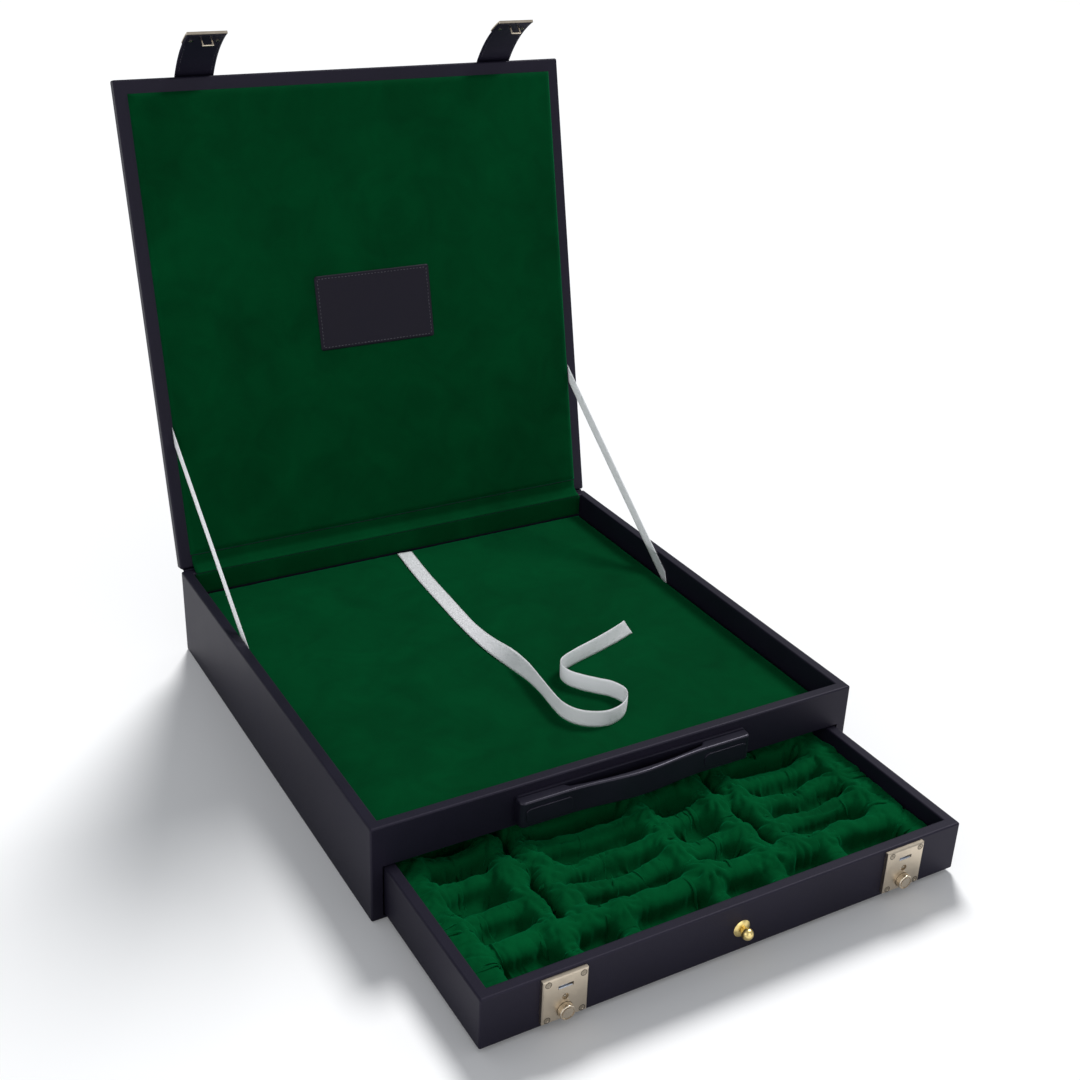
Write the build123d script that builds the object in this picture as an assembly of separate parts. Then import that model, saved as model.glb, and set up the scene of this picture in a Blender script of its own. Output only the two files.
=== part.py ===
from build123d import *
from math import cos, hypot, radians, sin
import os

# A chess box: a lidded tray for the board over a pocketed drawer for the men.
# Millimetres. +X to the right, +Y to the back, +Z up.
# The origin is the centre of the case's underside, which stands on the table.
# The lid and its straps are drawn closed, then turned open about the hinge line.
# The drawer is drawn where it stands, pulled out by drawer_out.

# ---------------------------------------------------------------- driving dimensions
# Case
case_width = 520.0
case_depth = 520.0
case_height = 99.0
case_wall = 11.0
case_base_thickness = 3.6
case_edge_radius = 2.0
rim_edge_radius = 1.5
rail_height = 42.0

# Tray
tray_board_thickness = 4.0
tray_pad_thickness = 12.0
tray_pad_gap = 1.8
tray_pad_radius = 3.0
back_velvet_thickness = 0.8

# Lid
lid_open_angle = 102.1
lid_thickness = 12.8
lid_edge_radius = 2.2
lid_hinge_gap = 1.5
lid_rim_gap = 0.5
panel_thickness = 4.0
panel_side_gap = 2.0
panel_front_gap = 1.5
panel_hinge_setback = 16.0
panel_edge_radius = 1.5
label_width = 140.0
label_height = 83.0
label_thickness = 1.2
label_distance = 262.0
label_corner_radius = 3.0

# Hinge covering
hinge_cloth_thickness = 0.8
hinge_cloth_side_gap = 3.0
hinge_cloth_bend = 6.5
hinge_leather_thickness = 0.8
hinge_leather_side_gap = 3.0
hinge_leather_drop = 36.0
soft_gap = 0.4

# Ribbons
stay_width = 14.0
stay_thickness = 0.4
stay_lid_distance = 151.0
stay_tray_y = 50.0
stay_tuck = 2.5
ribbon_width = 18.0
ribbon_thickness = 0.6

# Drawer
drawer_out = 178.3
drawer_length = 252.0
drawer_height = 51.5
drawer_wall = 11.0
drawer_side_gap = 1.7
drawer_base_gap = 0.4
drawer_bottom_thickness = 4.0
drawer_edge_radius = 2.0
drawer_stop_gap = 0.5
bay_board_thickness = 6.0

# Velvet partitions of the drawer
insert_pad_thickness = 4.6
insert_top_drop = 11.5
insert_side_roll = 25.0
insert_end_roll = 6.0
ridge_thickness = 7.0
ridge_sag = 3.5
ridge_top_radius = 2.6
insert_gap = 0.3
front_pocket_depth = 43.0
# The pockets share the width between the side rolls in these proportions.
front_pocket_shares = [67, 61, 92, 62, 63, 77]
column_shares = [67, 30, 121, 67, 30, 107]
column_rows = [4, 2, 5, 4, 2, 5]

# Line of the locks, straps, handle and knob, a little right of the case's centre
fastening_centre_x = 3.5
lock_share_of_width = 0.339
fastening_half_spacing = lock_share_of_width * case_width

# Locks
plate_width = 42.0
plate_height = 44.0
plate_thickness = 4.2
plate_bevel = 1.0
plate_top_drop = 2.5
slot_width = 14.0
slot_height = 3.4
slot_below_top = 10.2
key_hole_diameter = 6.0
key_hole_depth = 2.6
key_hole_below_top = 21.5
button_below_top = 34.7
button_diameter = 14.4
button_cap_diameter = 11.6
button_groove_depth = 0.8
button_groove_width = 0.8
button_reach = 5.4
button_travel = 2.5
button_gap = 0.3
button_flange_diameter = 16.0
button_flange_thickness = 1.2
lock_pocket_width = 27.0
lock_pocket_height = 42.0
lock_pocket_depth = 8.4
lock_screw_spacing_x = 32.3
lock_screw_spacing_z = 36.4
lock_screw_head = 5.4
lock_screw_shank = 2.6
lock_screw_length = 9.0
screw_slot_width = 0.8
screw_slot_depth = 0.7
catch_width = 6.0
catch_thickness = 1.4
catch_length = 9.0
catch_drop = 3.0
catch_setback = 0.4

# Drawer knob
knob_rise = 23.5
rosette_diameter = 17.0
rosette_height = 2.6
knob_stem_diameter = 6.0
knob_ball_diameter = 11.0
knob_reach = 13.2
knob_screw_diameter = 4.0
knob_screw_head = 8.0
knob_screw_head_height = 2.4
knob_screw_bite = 7.0

# Handle
handle_length = 250.0
handle_height = 27.0
handle_below_rim = 11.0
handle_base_thickness = 3.0
handle_base_margin = 1.6
handle_end_reach = 13.0
handle_middle_reach = 18.5
handle_end_length = 50.0
handle_grip_thickness = 6.5
handle_corner_radius = 3.0
handle_end_radius = 5.0
handle_edge_radius = 1.8
handle_cover_length = 53.0
handle_cover_height = 15.0
handle_cover_radius = 5.0
handle_cover_drop = 1.0
handle_cover_recess = 0.8
handle_cover_proud = 0.9
handle_screw_diameter = 4.0
handle_screw_head = 8.0
handle_screw_head_height = 2.2
handle_screw_bite = 8.0
handle_screw_inset = 25.0

# Straps and hasps
strap_width = 42.0
strap_thickness = 2.4
strap_length = 71.0
strap_turn = 30.0
strap_rest_lean = 59.5
strap_closed_lean = 87.8
strap_root_height = 8.0
strap_root_gap = 0.3
hasp_plate_length = 22.0
hasp_plate_thickness = 1.2
hasp_plate_overhang = 2.0
hasp_lip_reach = 1.6
staple_from_tip = 6.0
staple_width = 12.2
staple_wire = 1.8
staple_reach = 9.0
rivet_diameter = 4.0
rivet_spacing = 28.0
rivet_from_tip = 13.0
rivet_head_height = 0.7

# ---------------------------------------------------------------- worked out from them
half_width = case_width / 2
half_depth = case_depth / 2
inner_half_width = half_width - case_wall
inner_half_depth = half_depth - case_wall
rail_bottom_z = case_height - rail_height
tray_board_top = rail_bottom_z + tray_board_thickness
tray_floor_z = tray_board_top + tray_pad_thickness

drawer_half_width = inner_half_width - drawer_side_gap
drawer_front_y = -half_depth - drawer_out
drawer_back_y = drawer_front_y + drawer_length
drawer_bottom_z = case_base_thickness + drawer_base_gap
drawer_top_z = drawer_bottom_z + drawer_height
drawer_floor_z = drawer_bottom_z + drawer_bottom_thickness
drawer_inside_x = drawer_half_width - drawer_wall
drawer_inside_front_y = drawer_front_y + drawer_wall
drawer_inside_back_y = drawer_back_y - drawer_wall
bay_board_y = -half_depth + drawer_length + drawer_stop_gap

insert_floor_z = drawer_floor_z + insert_pad_thickness
insert_top_z = drawer_top_z - insert_top_drop
pocket_left_x = -drawer_inside_x + insert_gap + insert_side_roll
pocket_right_x = -pocket_left_x
insert_front_y = drawer_inside_front_y + insert_gap
front_ridge_y = insert_front_y + insert_end_roll + front_pocket_depth
insert_back_y = drawer_inside_back_y - insert_gap
column_back_y = insert_back_y - insert_end_roll
column_depth = column_back_y - front_ridge_y

hinge_y = half_depth
hinge_z = case_height
lid_start_y = hinge_y - lid_hinge_gap
lid_end_y = lid_start_y - case_depth
lid_bottom_z = hinge_z + lid_rim_gap
lid_top_z = lid_bottom_z + lid_thickness
panel_half_width = inner_half_width - panel_side_gap
panel_back_y = hinge_y - panel_hinge_setback
panel_front_y = -inner_half_depth + panel_front_gap
panel_face_z = lid_bottom_z - panel_thickness

lock_sides = {"left": -1, "right": 1}
plate_face_y = drawer_front_y - plate_thickness
plate_top_z = drawer_top_z - plate_top_drop
plate_bottom_z = plate_top_z - plate_height
plate_middle_z = plate_top_z - plate_height / 2
slot_z = plate_top_z - slot_below_top
button_z = plate_top_z - button_below_top
lock_pocket_back_y = drawer_front_y + lock_pocket_depth
knob_z = drawer_bottom_z + knob_rise

strap_hinge_y = lid_end_y - strap_root_gap - strap_thickness / 2
strap_hinge_z = hinge_z + strap_root_height
strap_radius = strap_length / radians(strap_turn)


# ---------------------------------------------------------------- helpers
def block(low, high):
    """A plain block from its lowest corner to its highest."""
    size = [b - a for a, b in zip(low, high)]
    middle = [(a + b) / 2 for a, b in zip(low, high)]
    return Pos(*middle) * Box(*size)


def rounded_block(low, high, radius):
    """A block with every edge rounded."""
    plain = block(low, high)
    return fillet(plain.edges(), radius)


def bar_along_y(x, z, diameter, from_y, to_y):
    """A round bar between two planes that face the front and the back."""
    middle = (from_y + to_y) / 2
    length = abs(to_y - from_y)
    return Pos(x, middle, z) * Rot(90, 0, 0) * Cylinder(diameter / 2, length)


def rim_edges(solid, z, half_x, low_y, high_y):
    """The inner edges of an open box's rim."""
    def inside(edge):
        middle = edge.center()
        on_side = abs(abs(middle.X) - half_x) < 0.01
        on_end = abs(middle.Y - low_y) < 0.01 or abs(middle.Y - high_y) < 0.01
        return abs(middle.Z - z) < 0.01 and (on_side or on_end)
    return solid.edges().filter_by(inside)


def opened(closed_piece):
    """Turns a piece drawn on the closed lid to where the open lid holds it."""
    hinge_line = Axis((0, hinge_y, hinge_z), (1, 0, 0))
    return closed_piece.rotate(hinge_line, -lid_open_angle)


def lid_point(distance, height):
    """A point of the open lid, as Y and Z: distance from the hinge, height over the hinge line."""
    lean = radians(lid_open_angle)
    y = hinge_y - distance * cos(lean) + height * sin(lean)
    z = hinge_z + distance * sin(lean) + height * cos(lean)
    return (y, z)


def strip_along_x(points, thickness, length):
    """A bent sheet: a line of Y and Z points given a thickness and run along X."""
    flat = trace(Polyline(*points), line_width=thickness)
    face = Plane.YZ * make_face(flat.face().outer_wire())
    return extrude(face, amount=length / 2, both=True)


def write(name, solid):
    """One sub-part, one file."""
    export_step(solid, "parts/" + name + ".step")


# ---------------------------------------------------------------- case
def case_parts():
    """The covered boards of the case, cut from one rounded block so that their edges run on."""
    out_x, out_y = half_width, half_depth
    in_x, in_y = inner_half_width, inner_half_depth
    base = case_base_thickness
    top = case_height
    whole = rounded_block((-out_x, -out_y, 0), (out_x, out_y, top), case_edge_radius)
    tray = block((-in_x, -in_y, rail_bottom_z), (in_x, in_y, top + 1))
    bay = block((-in_x, -out_y - 1, base), (in_x, in_y, rail_bottom_z))
    whole = whole - tray - bay
    whole = fillet(rim_edges(whole, top, in_x, -in_y, in_y), rim_edge_radius)
    regions = {
        "case_left_side": ((-out_x, -out_y, 0), (-in_x, out_y, top)),
        "case_right_side": ((in_x, -out_y, 0), (out_x, out_y, top)),
        "case_base": ((-in_x, -out_y, 0), (in_x, out_y, base)),
        "case_back": ((-in_x, in_y, base), (in_x, out_y, top)),
        "case_front_rail": ((-in_x, -out_y, rail_bottom_z), (in_x, -in_y, top)),
    }
    boards = {}
    for name, (low, high) in regions.items():
        boards[name] = whole & block(low, high)
    boards["case_front_rail"] -= handle_screws()
    return boards


def tray_floor_board():
    """The thin board between the tray and the drawer bay."""
    low = (-inner_half_width, -inner_half_depth, rail_bottom_z)
    return block(low, (inner_half_width, inner_half_depth, tray_board_top))


def drawer_bay_board():
    """The cross board that the pushed-in drawer stops against, under the middle of the tray."""
    low = (-inner_half_width, bay_board_y, case_base_thickness)
    return block(low, (inner_half_width, bay_board_y + bay_board_thickness, rail_bottom_z))


def tray_pad():
    """The velvet-covered pad that the board lies on, with a rounded upper edge."""
    x = inner_half_width - tray_pad_gap
    y = inner_half_depth - back_velvet_thickness - soft_gap
    pad = block((-x, -inner_half_depth + soft_gap, tray_board_top), (x, y, tray_floor_z))
    upper = pad.edges().group_by(Axis.Z)[-1]
    return fillet(upper, tray_pad_radius)


def tray_back_velvet():
    """The velvet on the tray's back wall."""
    x = inner_half_width - tray_pad_gap
    low = (-x, inner_half_depth - back_velvet_thickness, tray_floor_z + soft_gap)
    return block(low, (x, inner_half_depth, case_height - rim_edge_radius))


# ---------------------------------------------------------------- lid
def lid_board():
    """The covered board of the lid, drawn closed."""
    low = (-half_width, lid_end_y, lid_bottom_z)
    return rounded_block(low, (half_width, lid_start_y, lid_top_z), lid_edge_radius)


def lid_panel():
    """The velvet-wrapped panel on the lid's inner face, which drops into the tray."""
    low = (-panel_half_width, panel_front_y, panel_face_z)
    panel = block(low, (panel_half_width, panel_back_y, lid_bottom_z))
    lower = panel.edges().group_by(Axis.Z)[0]
    return fillet(lower, panel_edge_radius)


def label_patch():
    """The bare stitched patch in the middle of the lid's panel."""
    outline = Rectangle(label_width, label_height)
    outline = fillet(outline.vertices(), label_corner_radius)
    middle_y = hinge_y - label_distance
    return Pos(0, middle_y, panel_face_z - label_thickness) * extrude(outline, label_thickness)


# ---------------------------------------------------------------- hinge covering
def hinge_velvet():
    """The velvet that runs from the tray's back wall over the hinge to the lid's panel."""
    half = hinge_cloth_thickness / 2
    wall_y = inner_half_depth - soft_gap - half
    over = case_height + soft_gap + half
    under_lid = lid_rim_gap - soft_gap - half
    points = [
        (wall_y, over - rim_edge_radius),
        (wall_y + 1.5, over),
        (hinge_y - hinge_cloth_bend, over),
        lid_point(hinge_cloth_bend, under_lid),
        lid_point(panel_hinge_setback - soft_gap - half, under_lid),
    ]
    return strip_along_x(points, hinge_cloth_thickness, 2 * (inner_half_width - hinge_cloth_side_gap))


def back_hinge_leather():
    """The leather strip behind, from the case's back round the lid's spine to its outer face."""
    half = hinge_leather_thickness / 2
    back_y = half_depth + half
    spine = lid_hinge_gap - soft_gap - half
    outside = lid_rim_gap + lid_thickness + soft_gap + half
    points = [
        (back_y, case_height - hinge_leather_drop),
        (back_y, case_height - half),
        lid_point(spine, 3 * lid_rim_gap),
        lid_point(spine, outside),
        lid_point(hinge_leather_drop, outside),
    ]
    return strip_along_x(points, hinge_leather_thickness, 2 * (half_width - hinge_leather_side_gap))


# ---------------------------------------------------------------- ribbons
def stay_ribbon(side):
    """A taut stay from beside the lid's panel down to the edge of the tray's pad."""
    lid_height = lid_rim_gap - soft_gap
    top = lid_point(stay_lid_distance, lid_height)
    foot = (stay_tray_y, tray_floor_z - stay_tuck)
    run = hypot(top[0] - foot[0], top[1] - foot[1])
    along = ((top[0] - foot[0]) / run, (top[1] - foot[1]) / run)
    lid_lean = radians(lid_open_angle)
    lid_along = (-cos(lid_lean), sin(lid_lean))
    crossing = abs(along[0] * lid_along[1] - along[1] * lid_along[0])
    half_cut = stay_width / 2 / crossing
    half_foot = stay_width / 2 / along[1]
    corners = [
        (top[0] + half_cut * lid_along[0], top[1] + half_cut * lid_along[1]),
        (top[0] - half_cut * lid_along[0], top[1] - half_cut * lid_along[1]),
        (foot[0] + half_foot, foot[1]),
        (foot[0] - half_foot, foot[1]),
    ]
    face = Plane.YZ * Polygon(*corners, align=None)
    middle_x = side * (inner_half_width - tray_pad_gap / 2)
    ribbon = extrude(face, amount=stay_thickness / 2, both=True)
    return Pos(middle_x, 0, 0) * ribbon


def pull_ribbon_route():
    """Points of the ribbon's lower edge on the tray's floor, and how far it is turned on edge.

    The places are for a case 520 wide and 520 deep, and grow with it.
    """
    wider = case_width / 520
    deeper = case_depth / 520
    places = [
        (-6.0, 243.0, 0), (-11.5, 180.0, 0), (-14.7, 114.0, 0), (-16.8, 50.0, 0),
        (-15.5, 0.0, 20), (-9.5, -45.0, 55), (-5.2, -75.0, 78), (-5.0, -102.0, 88),
        (-7.6, -130.0, 88), (-7.8, -148.0, 88), (-3.0, -163.0, 88), (7.0, -174.0, 88),
        (23.0, -181.0, 88), (40.0, -178.0, 90), (54.0, -168.0, 92), (60.5, -154.0, 94),
        (55.5, -138.0, 96), (46.0, -127.0, 96), (35.5, -114.0, 95), (28.0, -100.0, 92),
        (27.5, -85.0, 90), (36.0, -74.5, 88), (58.0, -66.0, 86), (90.0, -57.0, 82),
        (120.0, -47.5, 76), (145.0, -38.0, 70),
    ]
    return [(x * wider, y * deeper, tilt) for x, y, tilt in places]


def pull_ribbon():
    """The loose ribbon that lifts the board, laid flat and then turned on its edge in a curl."""
    route = pull_ribbon_route()
    lift = tray_floor_z + soft_gap / 2
    sections = []
    length = 0.0
    for i, (x, y, tilt) in enumerate(route):
        before = route[max(i - 1, 0)]
        after = route[min(i + 1, len(route) - 1)]
        step = hypot(after[0] - before[0], after[1] - before[1])
        ahead = Vector((after[0] - before[0]) / step, (after[1] - before[1]) / step, 0)
        left_hand = Vector(0, 0, 1).cross(ahead)
        across = left_hand * cos(radians(tilt)) + Vector(0, 0, 1) * sin(radians(tilt))
        face_way = ahead.cross(across)
        lower_edge = Vector(x, y, lift + abs(face_way.Z) * ribbon_thickness / 2)
        middle = lower_edge + across * (ribbon_width / 2)
        section = Plane(origin=middle, x_dir=across, z_dir=ahead) * Rectangle(ribbon_width, ribbon_thickness)
        sections.append(section)
        if i > 0:
            length += hypot(x - route[i - 1][0], y - route[i - 1][1])
    print("pull ribbon length", round(length, 1))
    return loft(sections, ruled=True)


# ---------------------------------------------------------------- drawer
def drawer_block():
    """The drawer's boards as one rounded open box."""
    low = (-drawer_half_width, drawer_front_y, drawer_bottom_z)
    whole = rounded_block(low, (drawer_half_width, drawer_back_y, drawer_top_z), drawer_edge_radius)
    inside_low = (-drawer_inside_x, drawer_inside_front_y, drawer_floor_z)
    whole -= block(inside_low, (drawer_inside_x, drawer_inside_back_y, drawer_top_z + 1))
    rim = rim_edges(whole, drawer_top_z, drawer_inside_x, drawer_inside_front_y, drawer_inside_back_y)
    return fillet(rim, rim_edge_radius)


def mitred_region(outer_a, outer_b, inner_b, inner_a):
    """A four-sided prism over the drawer's height that keeps one board up to its mitres."""
    face = Polygon(outer_a, outer_b, inner_b, inner_a, align=None)
    return Pos(0, 0, drawer_bottom_z) * extrude(face, drawer_height)


def drawer_parts():
    """Front, sides, back and bottom of the drawer, mitred at the corners."""
    whole = drawer_block()
    low = (-drawer_inside_x, drawer_inside_front_y, drawer_bottom_z)
    bottom_region = block(low, (drawer_inside_x, drawer_inside_back_y, drawer_floor_z))
    walls = whole - bottom_region
    left_front = (-drawer_half_width, drawer_front_y)
    right_front = (drawer_half_width, drawer_front_y)
    left_back = (-drawer_half_width, drawer_back_y)
    right_back = (drawer_half_width, drawer_back_y)
    in_left_front = (-drawer_inside_x, drawer_inside_front_y)
    in_right_front = (drawer_inside_x, drawer_inside_front_y)
    in_left_back = (-drawer_inside_x, drawer_inside_back_y)
    in_right_back = (drawer_inside_x, drawer_inside_back_y)
    front = walls & mitred_region(left_front, right_front, in_right_front, in_left_front)
    for sign in lock_sides.values():
        front = front - lock_pocket(lock_x(sign))
    front = front - lock_screw_solids(0.0)
    front = front - knob_screw_hole() - knob_screw()
    return {
        "drawer_front": front,
        "drawer_left_side": walls & mitred_region(left_back, left_front, in_left_front, in_left_back),
        "drawer_right_side": walls & mitred_region(right_front, right_back, in_right_back, in_right_front),
        "drawer_back": walls & mitred_region(right_back, left_back, in_left_back, in_right_back),
        "drawer_bottom": whole & bottom_region,
    }


# ---------------------------------------------------------------- velvet partitions
def ridge(low, high, along_x):
    """A stuffed velvet partition: its crest sags between its ends and is rounded."""
    length = (high[0] - low[0]) if along_x else (high[1] - low[1])
    thickness = (high[1] - low[1]) if along_x else (high[0] - low[0])
    height = high[2] - low[2]
    sag = min(ridge_sag, length / 12)
    foot = Polyline((0, height), (0, 0), (length, 0), (length, height))
    crest = ThreePointArc((length, height), (length / 2, height - sag), (0, height))
    profile = make_face(foot + crest)
    turned = Plane.XZ * profile if along_x else Plane.YZ * profile
    way = (0, 1, 0) if along_x else (1, 0, 0)
    solid = Pos(*low) * extrude(turned, amount=thickness, dir=way)
    high_up = solid.edges().filter_by(lambda edge: edge.center().Z > low[2] + height / 2)
    crests = high_up.filter_by(lambda edge: edge.length > length * 0.9)
    return fillet(crests, min(ridge_top_radius, thickness * 0.4))


def pocket_edges(shares):
    """The places in X between pockets that share the width in these proportions."""
    width = pocket_right_x - pocket_left_x
    places = [pocket_left_x]
    for share in shares:
        places.append(places[-1] + width * share / sum(shares))
    return places


def insert_pad():
    """The velvet-covered board under the pockets."""
    low = (-drawer_inside_x + insert_gap, insert_front_y, drawer_floor_z)
    return block(low, (drawer_inside_x - insert_gap, insert_back_y, insert_floor_z))


def insert_border():
    """The stuffed rolls round the pockets."""
    z = (insert_floor_z, insert_top_z)
    side_x = drawer_inside_x - insert_gap
    left = ridge((-side_x, insert_front_y, z[0]), (pocket_left_x, insert_back_y, z[1]), False)
    right = ridge((pocket_right_x, insert_front_y, z[0]), (side_x, insert_back_y, z[1]), False)
    front_low = (pocket_left_x, insert_front_y, z[0])
    front = ridge(front_low, (pocket_right_x, insert_front_y + insert_end_roll, z[1]), True)
    back = ridge((pocket_left_x, column_back_y, z[0]), (pocket_right_x, insert_back_y, z[1]), True)
    return Compound(children=[left, right, front, back])


def insert_front_ridges():
    """The partitions between the front row's pockets."""
    places = pocket_edges(front_pocket_shares)[1:-1]
    start_y = insert_front_y + insert_end_roll
    end_y = front_ridge_y - ridge_thickness / 2
    half = ridge_thickness / 2
    ridges = []
    for x in places:
        ridges.append(ridge((x - half, start_y, insert_floor_z), (x + half, end_y, insert_top_z), False))
    return Compound(children=ridges)


def insert_long_ridges():
    """The cross partition behind the front row and the ones that run back from it."""
    half = ridge_thickness / 2
    low = (pocket_left_x, front_ridge_y - half, insert_floor_z)
    ridges = [ridge(low, (pocket_right_x, front_ridge_y + half, insert_top_z), True)]
    for x in pocket_edges(column_shares)[1:-1]:
        low = (x - half, front_ridge_y + half, insert_floor_z)
        ridges.append(ridge(low, (x + half, column_back_y, insert_top_z), False))
    return Compound(children=ridges)


def insert_cross_ridges():
    """The short partitions that divide each column into its pockets."""
    half = ridge_thickness / 2
    edges = pocket_edges(column_shares)
    ridges = []
    for column, rows in enumerate(column_rows):
        left = edges[column] + (half if column > 0 else 0)
        right = edges[column + 1] - (half if column < len(column_rows) - 1 else 0)
        for row in range(1, rows):
            y = front_ridge_y + row * column_depth / rows
            low = (left, y - half, insert_floor_z)
            ridges.append(ridge(low, (right, y + half, insert_top_z), True))
    return Compound(children=ridges)


# ---------------------------------------------------------------- locks
def lock_x(side):
    """The middle of a lock, and of the strap that comes down to it."""
    return fastening_centre_x + side * fastening_half_spacing


def lock_pocket(x):
    """The pocket behind a lock plate for the staple, the catch and the button."""
    half_x = lock_pocket_width / 2
    low_z = plate_middle_z - lock_pocket_height / 2
    high_z = plate_middle_z + lock_pocket_height / 2
    return block((x - half_x, drawer_front_y - 1, low_z), (x + half_x, lock_pocket_back_y, high_z))


def lock_screw_solids(slot):
    """The countersunk screws of both plates, with driver slots as deep as asked."""
    screws = []
    head_depth = (lock_screw_head - lock_screw_shank) / 2
    for side in lock_sides.values():
        for step_x in (-1, 1):
            for step_z in (-1, 1):
                x = lock_x(side) + step_x * lock_screw_spacing_x / 2
                z = plate_middle_z + step_z * lock_screw_spacing_z / 2
                head = Cone(lock_screw_shank / 2, lock_screw_head / 2, head_depth)
                head = Pos(x, plate_face_y + head_depth / 2, z) * Rot(90, 0, 0) * head
                from_y = plate_face_y + head_depth / 2
                shank = bar_along_y(x, z, lock_screw_shank, from_y, plate_face_y + lock_screw_length)
                screw = head + shank
                if slot > 0:
                    cut = Box(lock_screw_head, 2 * slot, screw_slot_width)
                    turn = Rot(0, 60, 0)
                    screw = screw - Pos(x, plate_face_y, z) * turn * cut
                screws.append(screw)
    return Compound(children=screws)


def lock_plate(x):
    """A bevelled lock plate with its slot, key hole, button hole and screw holes."""
    half = plate_width / 2
    plate = block((x - half, plate_face_y, plate_bottom_z), (x + half, drawer_front_y, plate_top_z))
    plate = chamfer(plate.faces().sort_by(Axis.Y)[0].edges(), plate_bevel)
    before_y = plate_face_y - 1
    behind_y = drawer_front_y + 1
    slot_low = (x - slot_width / 2, before_y, slot_z - slot_height / 2)
    slot = block(slot_low, (x + slot_width / 2, behind_y, slot_z + slot_height / 2))
    key_z = plate_top_z - key_hole_below_top
    key = bar_along_y(x, key_z, key_hole_diameter, before_y, plate_face_y + key_hole_depth)
    button_hole = bar_along_y(x, button_z, button_diameter + 2 * button_gap, before_y, behind_y)
    return plate - slot - key - button_hole - lock_screw_solids(0.0)


def lock_button(x):
    """A stepped push button with a retaining flange behind the plate."""
    front_y = plate_face_y - button_reach
    body = bar_along_y(x, button_z, button_diameter, front_y, drawer_front_y + button_gap)
    front = body.faces().sort_by(Axis.Y)[0].edges()
    body = fillet(front, button_groove_width)
    flange_y = drawer_front_y + button_gap
    flange = bar_along_y(x, button_z, button_flange_diameter, flange_y, flange_y + button_flange_thickness)
    ring = bar_along_y(x, button_z, button_cap_diameter, front_y - 1, front_y + button_groove_depth)
    cap = button_cap_diameter - 2 * button_groove_width
    ring -= bar_along_y(x, button_z, cap, front_y - 2, front_y + 2 * button_groove_depth)
    return body + flange - ring


def lock_catch(x):
    """The steel tongue behind the slot that holds the staple, with its bevelled tip."""
    front_y = drawer_front_y + catch_setback
    top_z = slot_z + slot_height / 2 - button_gap
    low = (x - catch_width / 2, front_y, top_z - catch_length)
    tongue = block(low, (x + catch_width / 2, front_y + catch_thickness, top_z))
    tip = tongue.edges().filter_by(Axis.X).group_by(Axis.Z)[-1].sort_by(Axis.Y)[0]
    return chamfer(tip, catch_thickness / 2)


# ---------------------------------------------------------------- drawer knob
def knob_screw_hole():
    """The hole through the drawer's front for the knob's screw."""
    from_y = drawer_front_y - 1
    return bar_along_y(fastening_centre_x, knob_z, knob_screw_diameter, from_y, drawer_inside_front_y + 1)


def knob_rosette():
    """The domed rosette behind the knob."""
    half = rosette_diameter / 2
    base = (rosette_height ** 2 + half ** 2) / (2 * rosette_height)
    dome = Pos(fastening_centre_x, drawer_front_y - rosette_height + base, knob_z) * Sphere(base)
    reach = drawer_front_y - rosette_height
    disc = bar_along_y(fastening_centre_x, knob_z, rosette_diameter, reach, drawer_front_y)
    hole = bar_along_y(fastening_centre_x, knob_z, knob_stem_diameter, reach - 1, drawer_front_y + 1)
    return (dome & disc) - hole


def knob():
    """The ball and its stem, tapped for the screw."""
    ball_y = drawer_front_y - knob_reach + knob_ball_diameter / 2
    stem = bar_along_y(fastening_centre_x, knob_z, knob_stem_diameter, ball_y, drawer_front_y)
    ball = Pos(fastening_centre_x, ball_y, knob_z) * Sphere(knob_ball_diameter / 2)
    bore_y = drawer_front_y - knob_screw_bite
    bore = bar_along_y(fastening_centre_x, knob_z, knob_screw_diameter, bore_y, drawer_front_y + 1)
    return ball + stem - bore


def knob_screw():
    """The screw from inside the drawer that holds the knob, its head let into the front."""
    head_y = drawer_inside_front_y - knob_screw_head_height
    tip_y = drawer_front_y - knob_screw_bite
    shank = bar_along_y(fastening_centre_x, knob_z, knob_screw_diameter, tip_y, head_y)
    head = bar_along_y(fastening_centre_x, knob_z, knob_screw_head, head_y, drawer_inside_front_y)
    return shank + head


# ---------------------------------------------------------------- handle
def handle_place():
    """The handle's own middle: X, the case's front face and its height."""
    middle_z = case_height - handle_below_rim - handle_height / 2
    return Pos(fastening_centre_x, -half_depth, middle_z)


def handle_screw_shafts(diameter):
    """The two screws' shafts from inside the rail to the grip's ends."""
    middle_z = case_height - handle_below_rim - handle_height / 2
    shafts = []
    for side in (-1, 1):
        x = fastening_centre_x + side * (handle_length / 2 - handle_screw_inset)
        tip_y = -half_depth - handle_base_thickness - handle_screw_bite
        shafts.append(bar_along_y(x, middle_z, diameter, tip_y, -inner_half_depth))
    return shafts


def handle_base():
    """The thin plate between the grip and the rail."""
    outline = Rectangle(handle_length, handle_height + 2 * handle_base_margin)
    outline = fillet(outline.vertices(), handle_corner_radius)
    plate = handle_place() * Rot(90, 0, 0) * extrude(outline, handle_base_thickness)
    for shaft in handle_screw_shafts(handle_screw_diameter):
        plate -= shaft
    return plate


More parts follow.
